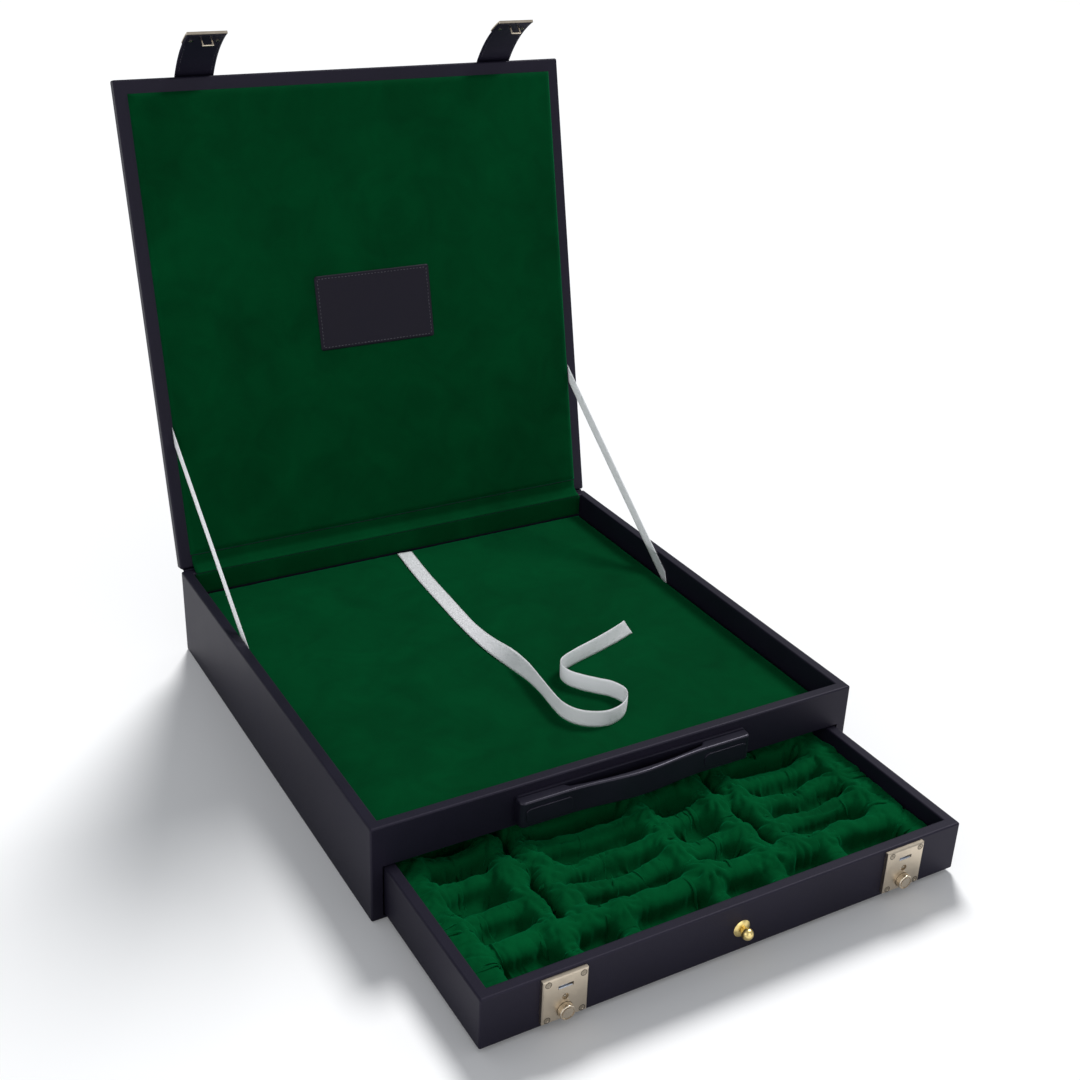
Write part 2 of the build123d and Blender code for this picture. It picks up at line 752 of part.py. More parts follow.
def handle_plan():
    """The grip seen from above, its back on the base plate: bowed front, finger gap behind."""
    end_x = handle_length / 2
    bow_x = end_x - handle_end_length
    back = -handle_base_thickness
    front = -handle_end_reach
    middle = -handle_middle_reach
    gap_middle = middle + handle_grip_thickness
    gap_end = back - handle_corner_radius
    gap_x = bow_x - handle_corner_radius
    outline = Polyline((-gap_x, gap_end), (-bow_x, back), (-end_x, back), (-end_x, front), (-bow_x, front))
    level = [(1, 0), (1, 0)]
    bow = Spline((-bow_x, front), (0, middle), (bow_x, front), tangents=level)
    other = Polyline((bow_x, front), (end_x, front), (end_x, back), (bow_x, back), (gap_x, gap_end))
    inner = ThreePointArc((gap_x, gap_end), (0, gap_middle), (-gap_x, gap_end))
    return make_face(outline + bow + other + inner)


def handle_cover_boxes(deepest, highest):
    """The two end covers' blocks, from a depth in the grip to a height over it."""
    place = handle_place()
    covers = []
    for side in (-1, 1):
        outer = side * (handle_length / 2 - handle_end_radius)
        inner = side * (handle_length / 2 - handle_cover_length)
        outline = Pos((outer + inner) / 2, 0) * Rectangle(abs(outer - inner), handle_cover_height)
        outline = fillet(outline.vertices(), handle_cover_radius)
        solid = Rot(90, 0, 0) * extrude(outline, highest + deepest)
        covers.append(place * Pos(0, -handle_end_reach + deepest, -handle_cover_drop) * solid)
    return covers


def handle_grip():
    """The moulded grip with its two end blocks."""
    plan = handle_plan()
    grip = extrude(plan, handle_height / 2, both=True)
    upright = grip.edges().filter_by(Axis.Z).group_by(Axis.X)
    ends = upright[0].sort_by(Axis.Y)[:1] + upright[-1].sort_by(Axis.Y)[:1]
    grip = fillet(ends, handle_end_radius)
    faces = grip.faces().filter_by(Axis.Z)
    rims = [edge for face in faces for edge in face.edges() if edge.center().Y < -handle_base_thickness - 1]
    grip = fillet(rims, handle_edge_radius)
    grip = handle_place() * grip
    for recess in handle_cover_boxes(handle_cover_recess, 1.0):
        grip -= recess
    for shaft in handle_screw_shafts(handle_screw_diameter):
        grip -= shaft
    return grip


def handle_covers():
    """The raised end covers of the handle."""
    raised = []
    for cover in handle_cover_boxes(handle_cover_recess, handle_cover_proud):
        front = cover.faces().sort_by(Axis.Y)[0].edges()
        raised.append(fillet(front, handle_cover_proud / 2))
    return Compound(children=raised)


def handle_screws():
    """The screws that hold the handle, their heads let into the rail's inner face."""
    screws = []
    for shaft in handle_screw_shafts(handle_screw_diameter):
        middle = shaft.center()
        head_y = -inner_half_depth - handle_screw_head_height
        head = bar_along_y(middle.X, middle.Z, handle_screw_head, head_y, -inner_half_depth)
        screws.append(shaft + head)
    return Compound(children=screws)


# ---------------------------------------------------------------- straps and hasps
def strap_point(run, height):
    """A point of a strap in its own frame: run along its middle, height over it on the outer side.

    The strap hangs from (0, 0); its chord points along strap_rest_lean below the lid's own plane.
    """
    start = radians(strap_rest_lean - strap_turn / 2)
    turned = run / strap_radius
    way = start + turned
    u = strap_radius * (sin(way) - sin(start))
    v = strap_radius * (cos(start) - cos(way))
    return (u + height * sin(way), v - height * cos(way))


def strap_sheet(x, from_run, to_run, inner, outer, width):
    """A stretch of the strap's curve between two heights, as a solid in the closed lid's place."""
    middle_run = (from_run + to_run) / 2
    corners = []
    for run, height in ((from_run, outer), (middle_run, outer), (to_run, outer),
                        (to_run, inner), (middle_run, inner), (from_run, inner)):
        u, v = strap_point(run, height)
        corners.append((strap_hinge_y - u, strap_hinge_z - v))
    outer_arc = ThreePointArc(corners[0], corners[1], corners[2])
    tip = Line(corners[2], corners[3])
    inner_arc = ThreePointArc(corners[3], corners[4], corners[5])
    root = Line(corners[5], corners[0])
    face = Plane.YZ * make_face(outer_arc + tip + inner_arc + root)
    solid = extrude(face, amount=width / 2, both=True)
    return Pos(x, 0, 0) * solid


def strap_pin(x, run, from_height, to_height, step_x, diameter):
    """A round bar through the strap, square to it."""
    low = strap_point(run, from_height)
    high = strap_point(run, to_height)
    start = Vector(x + step_x, strap_hinge_y - low[0], strap_hinge_z - low[1])
    end = Vector(x + step_x, strap_hinge_y - high[0], strap_hinge_z - high[1])
    way = end - start
    return Plane(origin=start, z_dir=way) * extrude(Circle(diameter / 2), way.length)


def staple_leg_ends(run):
    """Where a staple's leg leaves the plate and where it turns, as Y and Z, the lid closed.

    The legs lie level when the strap hangs at strap_closed_lean.
    """
    root = strap_point(run, strap_thickness / 2)
    level = radians(strap_closed_lean - strap_rest_lean)
    y = strap_hinge_y - root[0]
    z = strap_hinge_z - root[1]
    reach = staple_reach + strap_thickness
    return (y, z), (y + reach * cos(level), z - reach * sin(level))


def strap_leather(x):
    """The leather strap, with a round root on its bending line."""
    half = strap_thickness / 2
    leather = strap_sheet(x, 0, strap_length, -half, half, strap_width)
    root = Pos(x, strap_hinge_y, strap_hinge_z) * Rot(0, 90, 0) * Cylinder(half, strap_width)
    leather += root
    return leather - hasp_rivets(x) - staple_wire_solid(x)


def hasp_plate(x):
    """The metal plate on the outer side of the strap's tip, turned down over its end."""
    half = strap_thickness / 2
    from_run = strap_length - hasp_plate_length
    to_run = strap_length + hasp_plate_overhang
    plate = strap_sheet(x, from_run, to_run, half, half + hasp_plate_thickness, strap_width)
    plate += strap_sheet(x, strap_length, to_run, half - hasp_lip_reach, half, strap_width)
    return plate - hasp_rivets(x) - staple_wire_solid(x)


def staple_wire_solid(x):
    """The staple's wire: two legs and the bar between them."""
    root, turn = staple_leg_ends(strap_length - staple_from_tip)
    half = (staple_width - staple_wire) / 2
    lean = Vector(0, turn[0] - root[0], turn[1] - root[1])
    legs = []
    for step in (-1, 1):
        start = Vector(x + step * half, root[0], root[1])
        legs.append(Plane(origin=start, z_dir=lean) * extrude(Circle(staple_wire / 2), lean.length))
    bar = Pos(x, turn[0], turn[1]) * Rot(0, 90, 0) * Cylinder(staple_wire / 2, 2 * half)
    knees = [Pos(x + step * half, turn[0], turn[1]) * Sphere(staple_wire / 2) for step in (-1, 1)]
    return legs[0] + legs[1] + bar + knees[0] + knees[1]


def strap_rivet_shafts(x):
    """The shafts of the two rivets that hold a hasp plate to its strap."""
    run = strap_length - rivet_from_tip
    half = strap_thickness / 2
    top = half + hasp_plate_thickness
    shafts = []
    for step in (-1, 1):
        shafts.append(strap_pin(x, run, -half, top, step * rivet_spacing / 2, rivet_diameter / 2))
    return shafts


def hasp_rivets(x):
    """The two rivets with a low head on each face."""
    run = strap_length - rivet_from_tip
    half = strap_thickness / 2
    rivets = []
    for number, shaft in enumerate(strap_rivet_shafts(x)):
        step = (2 * number - 1) * rivet_spacing / 2
        inner = strap_pin(x, run, -half - rivet_head_height, -half, step, rivet_diameter)
        top = half + hasp_plate_thickness
        outer = strap_pin(x, run, top, top + rivet_head_height, step, rivet_diameter)
        rivets.append(shaft + inner + outer)
    return Compound(children=rivets)


# ---------------------------------------------------------------- all files
def main():
    os.makedirs("parts", exist_ok=True)
    for name, board in case_parts().items():
        write(name, board)
    write("tray_floor_board", tray_floor_board())
    write("drawer_bay_board", drawer_bay_board())
    write("tray_pad", tray_pad())
    write("tray_back_velvet", tray_back_velvet())
    write("hinge_velvet", hinge_velvet())
    write("back_hinge_leather", back_hinge_leather())
    write("pull_ribbon", pull_ribbon())
    write("handle_base", handle_base())
    write("handle_grip", handle_grip())
    write("handle_covers", handle_covers())
    write("handle_screws", handle_screws())
    write("lid_board", opened(lid_board()))
    write("lid_panel", opened(lid_panel()))
    write("label_patch", opened(label_patch()))
    for name, board in drawer_parts().items():
        write(name, board)
    write("insert_pad", insert_pad())
    write("insert_border", insert_border())
    write("insert_front_ridges", insert_front_ridges())
    write("insert_long_ridges", insert_long_ridges())
    write("insert_cross_ridges", insert_cross_ridges())
    write("knob_rosette", knob_rosette())
    write("drawer_knob", knob())
    write("knob_screw", knob_screw())
    write("lock_screws", lock_screw_solids(screw_slot_depth))
    for name, side in lock_sides.items():
        x = lock_x(side)
        write(name + "_stay_ribbon", stay_ribbon(side))
        write(name + "_lock_plate", lock_plate(x))
        write(name + "_lock_button", lock_button(x))
        write(name + "_lock_catch", lock_catch(x))
        write(name + "_strap", opened(strap_leather(x)))
        write(name + "_hasp_plate", opened(hasp_plate(x)))
        write(name + "_hasp_staple", opened(staple_wire_solid(x)))
        write(name + "_hasp_rivets", opened(hasp_rivets(x)))


main()
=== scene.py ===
"""The looks of a chess box: a lidded tray over a drawer with gathered velvet pockets."""

import math

import bpy
import numpy as np
from bpy.props import FloatProperty, FloatVectorProperty, IntProperty, PointerProperty
from mathutils import Matrix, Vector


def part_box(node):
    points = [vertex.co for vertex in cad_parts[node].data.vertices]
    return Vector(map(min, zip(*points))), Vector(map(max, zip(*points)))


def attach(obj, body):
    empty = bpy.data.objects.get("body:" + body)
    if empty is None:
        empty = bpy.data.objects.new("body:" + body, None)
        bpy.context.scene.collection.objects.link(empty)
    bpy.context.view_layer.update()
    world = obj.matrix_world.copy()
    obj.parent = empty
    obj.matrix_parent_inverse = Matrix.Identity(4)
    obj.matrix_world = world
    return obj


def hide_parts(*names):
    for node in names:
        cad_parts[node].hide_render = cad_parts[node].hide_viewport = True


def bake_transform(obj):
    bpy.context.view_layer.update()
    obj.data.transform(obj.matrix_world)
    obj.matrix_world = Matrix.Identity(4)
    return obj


bl_info = {
    "name": "Chess Box",
    "version": (1, 0, 0),
    "blender": (4, 5, 0),
    "location": "View3D > Sidebar > Chess Box",
    "description": "Dresses a chess box with a drawer in leatherette, velvet, satin ribbon and brass",
    "category": "Object",
}

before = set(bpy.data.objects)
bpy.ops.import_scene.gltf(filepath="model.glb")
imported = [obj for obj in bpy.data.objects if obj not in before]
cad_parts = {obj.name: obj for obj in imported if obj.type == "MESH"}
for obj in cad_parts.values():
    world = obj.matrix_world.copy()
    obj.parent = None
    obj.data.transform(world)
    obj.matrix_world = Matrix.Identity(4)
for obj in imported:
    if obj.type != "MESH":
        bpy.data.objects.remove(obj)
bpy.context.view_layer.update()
MM = 0.001

# Places that the pieces share with the frame, in millimetres.
HINGE_Y = 260.0
HINGE_Z = 99.0
LID_OPEN = math.radians(102.1)
LID_NEAR = 1.5
LID_DEPTH = 520.0
TRAY_FLOOR = 73.0
LOCK_MIDDLE = 3.5
LOCK_ASIDE = 176.3
STRAP_X = (LOCK_MIDDLE - LOCK_ASIDE, LOCK_MIDDLE + LOCK_ASIDE)

# Places on the lock plates, and the inner radius, outer radius and rise of the dark rings on them, which are
# painted shadow round the screws and buttons.
SCREW_ASIDE = 16.15
SCREW_UP = 18.2
SCREW_SHADOW_RING = (2.55, 3.0, 0.1)
BUTTON_Z = 18.3
BUTTON_SHADOW_RING = (5.7, 6.5, 0.14)
SLOT_EDGE_Z = 41.3
CATCH_Z = 42.6
KEY_HOLE_DOWN = 21.5

# Which way is up, and which way the open lid's inner face looks.
UP = np.array((0.0, 0.0, 1.0))
LID_INWARD = np.array((0.0, -math.sin(LID_OPEN), -math.cos(LID_OPEN)))


# ---------------------------------------------------------------- shader values
class Value:
    """A shader socket that takes part in ordinary arithmetic."""

    def __init__(self, finish, socket):
        self.finish = finish
        self.socket = socket

    def combine(self, operation, *others):
        sockets = dict(enumerate((self,) + others))
        return self.finish.node("ShaderNodeMath", {"operation": operation}, sockets)

    def __add__(self, other):
        return self.combine("ADD", other)

    __radd__ = __add__

    def __mul__(self, other):
        return self.combine("MULTIPLY", other)

    __rmul__ = __mul__

    def __sub__(self, other):
        return self.combine("SUBTRACT", other)

    def __rsub__(self, other):
        return self.finish.node("ShaderNodeMath", {"operation": "SUBTRACT"}, {0: other, 1: self})

    def clamp(self):
        return self.combine("MINIMUM", 1.0).combine("MAXIMUM", 0.0)


class Finish:
    """A material in the making, with the one shader that its nodes feed."""

    def __init__(self, name, **constants):
        self.material = bpy.data.materials.new(name)
        self.material.use_nodes = True
        self.tree = self.material.node_tree
        self.shader = self.tree.nodes["Principled BSDF"]
        for key, value in constants.items():
            self.shader.inputs[key.replace("_", " ")].default_value = value
        self.place = self.node("ShaderNodeTexCoord", {}, {}, "Object")

    def node(self, kind, settings, sockets, output=0):
        """Adds a node: its settings come first, then its sockets' values or links."""
        node = self.tree.nodes.new(kind)
        for key, value in settings.items():
            if key == "stops":
                ramp = node.color_ramp
                while len(ramp.elements) < len(value):
                    ramp.elements.new(0.5)
                for element, (at, colour) in zip(ramp.elements, value):
                    element.position = at
                    element.color = (*colour, 1.0)
            else:
                setattr(node, key, value)
        for key, value in sockets.items():
            self.feed(node.inputs[key], value)
        return Value(self, node.outputs[output])

    def feed(self, socket, value):
        if isinstance(value, Value):
            self.tree.links.new(value.socket, socket)
        elif hasattr(value, "__len__") and socket.type == "RGBA":
            socket.default_value = (*value[:3], 1.0)
        else:
            socket.default_value = value

    def stretched(self, x, y, z):
        """The place on the piece, multiplied along each axis."""
        return self.node("ShaderNodeVectorMath", {"operation": "MULTIPLY"}, {0: self.place, 1: (x, y, z)})

    def noise(self, scale, detail, roughness, distortion=0.0, at=None):
        sockets = {"Vector": at or self.place, "Scale": scale, "Detail": detail}
        sockets.update({"Roughness": roughness, "Distortion": distortion})
        return self.node("ShaderNodeTexNoise", {}, sockets)

    def pebbles(self, scale):
        """Rounded cells, like the grain of leather."""
        sockets = {"Vector": self.place, "Scale": scale}
        return self.node("ShaderNodeTexVoronoi", {"feature": "SMOOTH_F1"}, sockets)

    def mix(self, share, first, second):
        """Two colours mixed by a share from 0 to 1."""
        return self.node("ShaderNodeMix", {"data_type": "RGBA"}, {0: share, 6: first, 7: second}, 2)

    def relief(self, height, depth, strength):
        """Bumps the surface by a height in metres."""
        sockets = {"Height": height, "Distance": depth, "Strength": strength}
        self.feed(self.shader.inputs["Normal"], self.node("ShaderNodeBump", {}, sockets))

    def colour(self, value):
        self.feed(self.shader.inputs["Base Color"], value)

    def roughness(self, value):
        self.feed(self.shader.inputs["Roughness"], value)


# ---------------------------------------------------------------- finishes
def shade(colour, factor):
    return tuple(min(1.0, c * factor) for c in colour[:3])


def leatherette(name, colour, grain):
    """Dark grained bookcloth leather, a little paler where it is rubbed."""
    finish = Finish(name, Specular_IOR_Level=0.27, Specular_Tint=(0.86, 0.80, 1.0, 1.0))
    pebble = finish.pebbles(grain)
    fine = finish.noise(grain * 2.2, 3.0, 0.6)
    rubbed = finish.noise(14.0, 4.0, 0.6, 0.4)
    finish.colour(finish.mix((rubbed * 1.6 - 0.3).clamp(), shade(colour, 0.8), shade(colour, 1.3)))
    finish.roughness(0.42 + 0.14 * fine + 0.1 * rubbed)
    finish.relief(pebble * 0.7 + fine * 0.35, 0.00022, 0.55)
    return finish.material


def velvet(name, colour, sheen):
    """Short dense pile: deep where it faces the eye, pale where it leans away."""
    pile_light = {"Sheen_Weight": 0.45, "Sheen_Roughness": 0.38, "Sheen_Tint": (*sheen, 1.0)}
    finish = Finish(name, Specular_IOR_Level=0.02, **pile_light)
    brushed = finish.noise(22.0, 5.0, 0.62, 0.8)
    swept = finish.noise(6.0, 3.0, 0.55, 1.2)
    pile = finish.noise(1500.0, 2.0, 0.6)
    tone = (brushed * 0.9 + swept * 0.9 - 0.45).clamp()
    finish.colour(finish.mix(tone, shade(colour, 0.62), shade(colour, 1.35)))
    finish.roughness(0.8 + 0.15 * brushed)
    finish.relief(pile + brushed * 0.5, 0.00035, 0.45)
    return finish.material


def satin(name, colour):
    """Woven satin ribbon with fine cross threads."""
    glow = {"Subsurface_Weight": 0.7, "Subsurface_Radius": (1.0, 1.0, 1.0), "Subsurface_Scale": 0.002}
    finish = Finish(name, Sheen_Weight=0.25, Sheen_Roughness=0.4, Specular_IOR_Level=0.4, **glow)
    threads = finish.noise(900.0, 2.0, 0.5, 0.0, finish.stretched(1.0, 0.25, 1.0))
    folds = finish.noise(35.0, 3.0, 0.5)
    finish.colour(finish.mix(folds, shade(colour, 0.93), shade(colour, 1.0)))
    finish.roughness(0.42 + 0.16 * threads)
    finish.relief(threads, 0.0001, 0.4)
    return finish.material


def brushed_metal(name, colour, roughness, stretch):
    """Metal with long fine brush lines and faint tarnish."""
    finish = Finish(name, Metallic=1.0)
    lines = finish.noise(900.0, 3.0, 0.6, 0.0, finish.stretched(*stretch))
    tarnish = finish.noise(60.0, 4.0, 0.6, 0.5)
    finish.colour(finish.mix((tarnish * 1.8 - 0.4).clamp(), shade(colour, 0.86), shade(colour, 1.06)))
    finish.roughness(roughness + 0.14 * lines + 0.08 * tarnish)
    finish.relief(lines, 0.00006, 0.35)
    return finish.material


def moulded_plastic(name, colour):
    """Black moulded plastic with a fine spark texture."""
    finish = Finish(name, Specular_IOR_Level=0.5, Specular_Tint=(0.86, 0.82, 1.0, 1.0))
    spark = finish.noise(1300.0, 2.0, 0.6)
    worn = finish.noise(30.0, 4.0, 0.6)
    finish.colour(finish.mix(worn, shade(colour, 0.8), shade(colour, 1.3)))
    finish.roughness(0.24 + 0.16 * worn + 0.08 * spark)
    finish.relief(spark, 0.00006, 0.35)
    return finish.material


def bare_board(name, colour):
    """Raw fibre board, which only shows where the covering stops."""
    finish = Finish(name)
    fibre = finish.noise(260.0, 5.0, 0.7, 0.0, finish.stretched(1.0, 0.3, 1.0))
    finish.colour(finish.mix(fibre, shade(colour, 0.7), shade(colour, 1.2)))
    finish.roughness(0.7 + 0.2 * fibre)
    finish.relief(fibre, 0.0002, 0.4)
    return finish.material


def backdrop_white(name, colour, glow):
    """A pale floor that keeps the shadow and meets the white behind it."""
    finish = Finish(name, Roughness=0.9, Specular_IOR_Level=0.0)
    finish.colour(tuple(colour))
    seen = finish.node("ShaderNodeLightPath", {}, {}, "Is Camera Ray")
    light = finish.node("ShaderNodeEmission", {}, {"Color": (1, 1, 1), "Strength": 1.0})
    surface = Value(finish, finish.shader.outputs[0])
    both = finish.node("ShaderNodeMixShader", {}, {0: seen * glow, 1: surface, 2: light})
    finish.feed(finish.tree.nodes["Material Output"].inputs["Surface"], both)
    return finish.material


# ---------------------------------------------------------------- mesh helpers
def new_piece(name, points, faces, material):
    """A smooth-shaded mesh object from points in millimetres."""
    mesh = bpy.data.meshes.new(name)
    mesh.from_pydata((np.asarray(points, float) * MM).tolist(), [], faces)
    mesh.validate()
    mesh.update()
    mesh.materials.append(material)
    mesh.polygons.foreach_set("use_smooth", [True] * len(mesh.polygons))
    piece = bpy.data.objects.new(name, mesh)
    bpy.context.scene.collection.objects.link(piece)
    return piece


def grid_faces(rows, columns, start=0, flip=False):
    """Four-sided faces over a grid of points, row after row."""
    faces = []
    for i in range(rows - 1):
        for j in range(columns - 1):
            a = start + i * columns + j
            face = (a, a + 1, a + columns + 1, a + columns)
            faces.append(face[::-1] if flip else face)
    return faces


def grid_rim(rows, columns):
    """Indices round the edge of a grid, in order."""
    first = list(range(columns))
    right = [i * columns + columns - 1 for i in range(1, rows)]
    last = [(rows - 1) * columns + j for j in range(columns - 2, -1, -1)]
    left = [i * columns for i in range(rows - 2, 0, -1)]
    return first + right + last + left


def slab(name, middle, normal, thickness, material):
    """A closed sheet round a grid of middle points, as thick as asked at each of them."""
    rows, columns = middle.shape[:2]
    half = np.broadcast_to(np.asarray(thickness, float), (rows, columns))[..., None] / 2
    upper = (middle + normal * half).reshape(-1, 3)
    lower = (middle - normal * half).reshape(-1, 3)
    count = rows * columns
    faces = grid_faces(rows, columns) + grid_faces(rows, columns, count, True)
    rim = grid_rim(rows, columns)
    for a, b in zip(rim, rim[1:] + rim[:1]):
        faces.append((b, a, a + count, b + count))
    return new_piece(name, np.vstack([upper, lower]), faces, material)


def smooth_path(points, step):
    """A smooth line through points, resampled evenly, with any number of values per point."""
    parts = 12
    points = np.asarray(points, float)
    ends = np.vstack([2 * points[0] - points[1], points, 2 * points[-1] - points[-2]])
    line = []
    for p0, p1, p2, p3 in zip(ends, ends[1:], ends[2:], ends[3:]):
        bend = 2 * p0 - 5 * p1 + 4 * p2 - p3
        sway = 3 * p1 - p0 - 3 * p2 + p3
        for t in np.linspace(0, 1, parts, endpoint=False):
            line.append(0.5 * (2 * p1 + (p2 - p0) * t + bend * t**2 + sway * t**3))
    line.append(points[-1])
    line = np.array(line)
    run = np.concatenate([[0], np.cumsum(np.linalg.norm(np.diff(line[:, :2], axis=0), axis=1))])
    even = np.linspace(0, run[-1], max(3, int(run[-1] / step)))
    return np.column_stack([np.interp(even, run, line[:, k]) for k in range(line.shape[1])]), run[-1]


def edge_taper(columns, width, thickness, radius):
    """A sheet's thickness across its width, rounded off at both edges."""
    across = np.linspace(-width / 2, width / 2, columns)
    inside = np.clip((width / 2 - np.abs(across)) / radius, 0, 1)
    return across, thickness * np.sqrt(np.clip(1 - (1 - inside) ** 2, 0.04, 1))


def soft_noise(x, y, seed):
    """Smooth random values from -1 to 1, one cell of the pattern a unit wide."""
    rows, columns = 97, 89
    table = np.random.default_rng(seed).uniform(-1, 1, (rows, columns))
    xi, yi = np.floor(x).astype(int), np.floor(y).astype(int)
    fx, fy = x - xi, y - yi
    fx, fy = fx * fx * (3 - 2 * fx), fy * fy * (3 - 2 * fy)
    i, next_i = xi % rows, (xi + 1) % rows
    j, next_j = yi % columns, (yi + 1) % columns
    low = table[i, j] * (1 - fx) + table[next_i, j] * fx
    high = table[i, next_j] * (1 - fx) + table[next_i, next_j] * fx
    return low * (1 - fy) + high * fy


def from_lid(x, distance, height):
    """A point given on the lid, by its distance from the hinge and height over the hinge line."""
    y = HINGE_Y - distance * math.cos(LID_OPEN) + height * math.sin(LID_OPEN)
    z = HINGE_Z + distance * math.sin(LID_OPEN) + height * math.cos(LID_OPEN)
    return np.stack(np.broadcast_arrays(x, y, z), -1).astype(float)


def corners_of(name):
    """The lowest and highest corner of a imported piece, in millimetres."""
    return [np.array(corner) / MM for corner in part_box(name)]


def turned(points, faces, centre, profile, count, closed):
    """Adds a shape turned about the Y axis, from pairs of a radius and a depth."""
    x, y, z = centre
    base, rows = len(points), len(profile)
    for radius, depth in profile:
        for k in range(count):
            turn = 2 * math.pi * k / count
            points.append((x + radius * math.cos(turn), y + depth, z + radius * math.sin(turn)))
    for i in range(rows if closed else rows - 1):
        here, there = base + i * count, base + (i + 1) % rows * count
        for k in range(count):
            after = (k + 1) % count
            faces.append((here + k, here + after, there + after, there + k))


def normals_of(points):
    """Unit normals of a grid of points."""
    along = np.gradient(points, axis=0)
    across = np.gradient(points, axis=1)
    normal = np.cross(along, across)
    return normal / np.maximum(np.linalg.norm(normal, axis=-1, keepdims=True), 1e-9)


def dress(material, slot, *nodes):
    """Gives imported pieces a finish."""
    for name in nodes:
        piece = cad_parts[name]
        piece.data.materials.clear()
        piece.data.materials.append(material)


# ---------------------------------------------------------------- settings
COLOUR = {"subtype": "COLOR", "size": 3, "min": 0, "max": 1}
LENGTH = {"subtype": "DISTANCE", "unit": "LENGTH"}


class ChessBoxColours(bpy.types.PropertyGroup):
    """The colours of the chess box."""

    leather: FloatVectorProperty(
        name="Leatherette", description="Covering of the boards", default=(0.0062, 0.0054, 0.0125), **COLOUR
    )
    velvet: FloatVectorProperty(
        name="Velvet", description="Pile of the velvet", default=(0.0002, 0.047, 0.0125), **COLOUR
    )
    velvet_sheen: FloatVectorProperty(
        name="Velvet sheen", description="Light edge of the pile", default=(0.002, 0.34, 0.12), **COLOUR
    )
    ribbon: FloatVectorProperty(
        name="Ribbon", description="Satin ribbon", default=(0.90, 0.90, 0.94), **COLOUR
    )
    lock_metal: FloatVectorProperty(
        name="Lock metal", description="Plates of locks and hasps", default=(0.66, 0.57, 0.45), **COLOUR
    )
    brass: FloatVectorProperty(
        name="Brass", description="Knob", default=(0.96, 0.75, 0.31), **COLOUR
    )
    steel: FloatVectorProperty(
        name="Steel", description="Catches and inner screws", default=(0.56, 0.60, 0.70), **COLOUR
    )
    plastic: FloatVectorProperty(
        name="Handle plastic", description="Moulded handle", default=(0.0075, 0.007, 0.0135), **COLOUR
    )
    floor: FloatVectorProperty(
        name="Floor", description="Studio floor", default=(0.97, 0.97, 0.97), **COLOUR
    )


class ChessBoxSizes(bpy.types.PropertyGroup):
    """The sizes that shape the soft pieces."""

    insert_step: FloatProperty(
        name="Insert step", description="Distance between points of the draped velvet",
        default=0.0018, min=0.0012, max=0.006, **LENGTH
    )
    slack: FloatProperty(
        name="Slack", description="How much longer the velvet is than what it covers",
        default=0.25, min=0.0, max=0.4, subtype="FACTOR"
    )
    gathers: FloatProperty(
        name="Gathers", description="Depth of the gathers over the partitions",
        default=0.0030, min=0.0, max=0.006, **LENGTH
    )
    stars: FloatProperty(
        name="Stars", description="Depth of the folds where partitions meet",
        default=0.0036, min=0.0, max=0.006, **LENGTH
    )
    ribbon_width: FloatProperty(
        name="Pull ribbon width", description="Width of the loose ribbon",
        default=0.018, min=0.01, max=0.03, **LENGTH
    )
    stay_width: FloatProperty(
        name="Stay width", description="Width of the two stay ribbons",
        default=0.014, min=0.008, max=0.02, **LENGTH
    )
    stitch: FloatProperty(
        name="Stitch length", description="Length of one stitch",
        default=0.0030, min=0.001, max=0.006, **LENGTH
    )
    seed: IntProperty(
        name="Seed", description="Which set of folds the velvet has", default=4, min=0, max=99
    )


def colours():
    return bpy.context.scene.chess_box_colours


def sizes():
    return bpy.context.scene.chess_box_sizes


def finish_of(name):
    """The shared finish of a material slot."""
    if name in bpy.data.materials:
        return bpy.data.materials[name]
    c = colours()
    makers = {
        "chess_leatherette": lambda: leatherette(name, c.leather, 900.0),
        "chess_patch_leather": lambda: leatherette(name, shade(c.leather, 0.55), 1500.0),
        "chess_velvet": lambda: velvet(name, c.velvet, c.velvet_sheen),
        # The drawer's velvet is the same velvet painted 1.45 times brighter: painted light that lifts the
        # shade in its pockets.
        "chess_velvet_painted_brighter": lambda: velvet(name, shade(c.velvet, 1.45), shade(c.velvet_sheen, 1.25)),
        "chess_satin": lambda: satin(name, c.ribbon),
        "chess_lock_metal": lambda: brushed_metal(name, c.lock_metal, 0.22, (1.0, 1.0, 0.03)),
        "chess_brass": lambda: brushed_metal(name, c.brass, 0.2, (1.0, 0.4, 1.0)),
        "chess_button_metal": lambda: brushed_metal(name, shade(c.lock_metal, 1.12), 0.12, (1.0, 0.4, 1.0)),
        "chess_steel": lambda: brushed_metal(name, c.steel, 0.25, (0.2, 1.0, 1.0)),
        "chess_plastic": lambda: moulded_plastic(name, c.plastic),
        "chess_board": lambda: bare_board(name, (0.30, 0.21, 0.13)),
        "chess_thread": lambda: satin(name, (0.085, 0.08, 0.10)),
        # Lock metal at 0.62: painted shade on the screw heads, and on the pin deep in its key hole.
        "chess_screw_painted_shade": lambda: brushed_metal(name, shade(c.lock_metal, 0.62), 0.3, (0.2, 1.0, 1.0)),
        # Steel painted brighter and bluer than the catches' own steel: a painted glint for the steel in the
        # slots.
        "chess_steel_painted_glint": lambda: brushed_metal(name, (0.72, 0.80, 0.95), 0.3, (0.2, 1.0, 1.0)),
        # Near-black metal for thin rings round the screws and buttons: painted shadow.
        "chess_painted_shadow_finish": lambda: brushed_metal(name, shade(c.lock_metal, 0.12), 0.5, (1.0, 1.0, 1.0)),
    }
    return makers[name]()


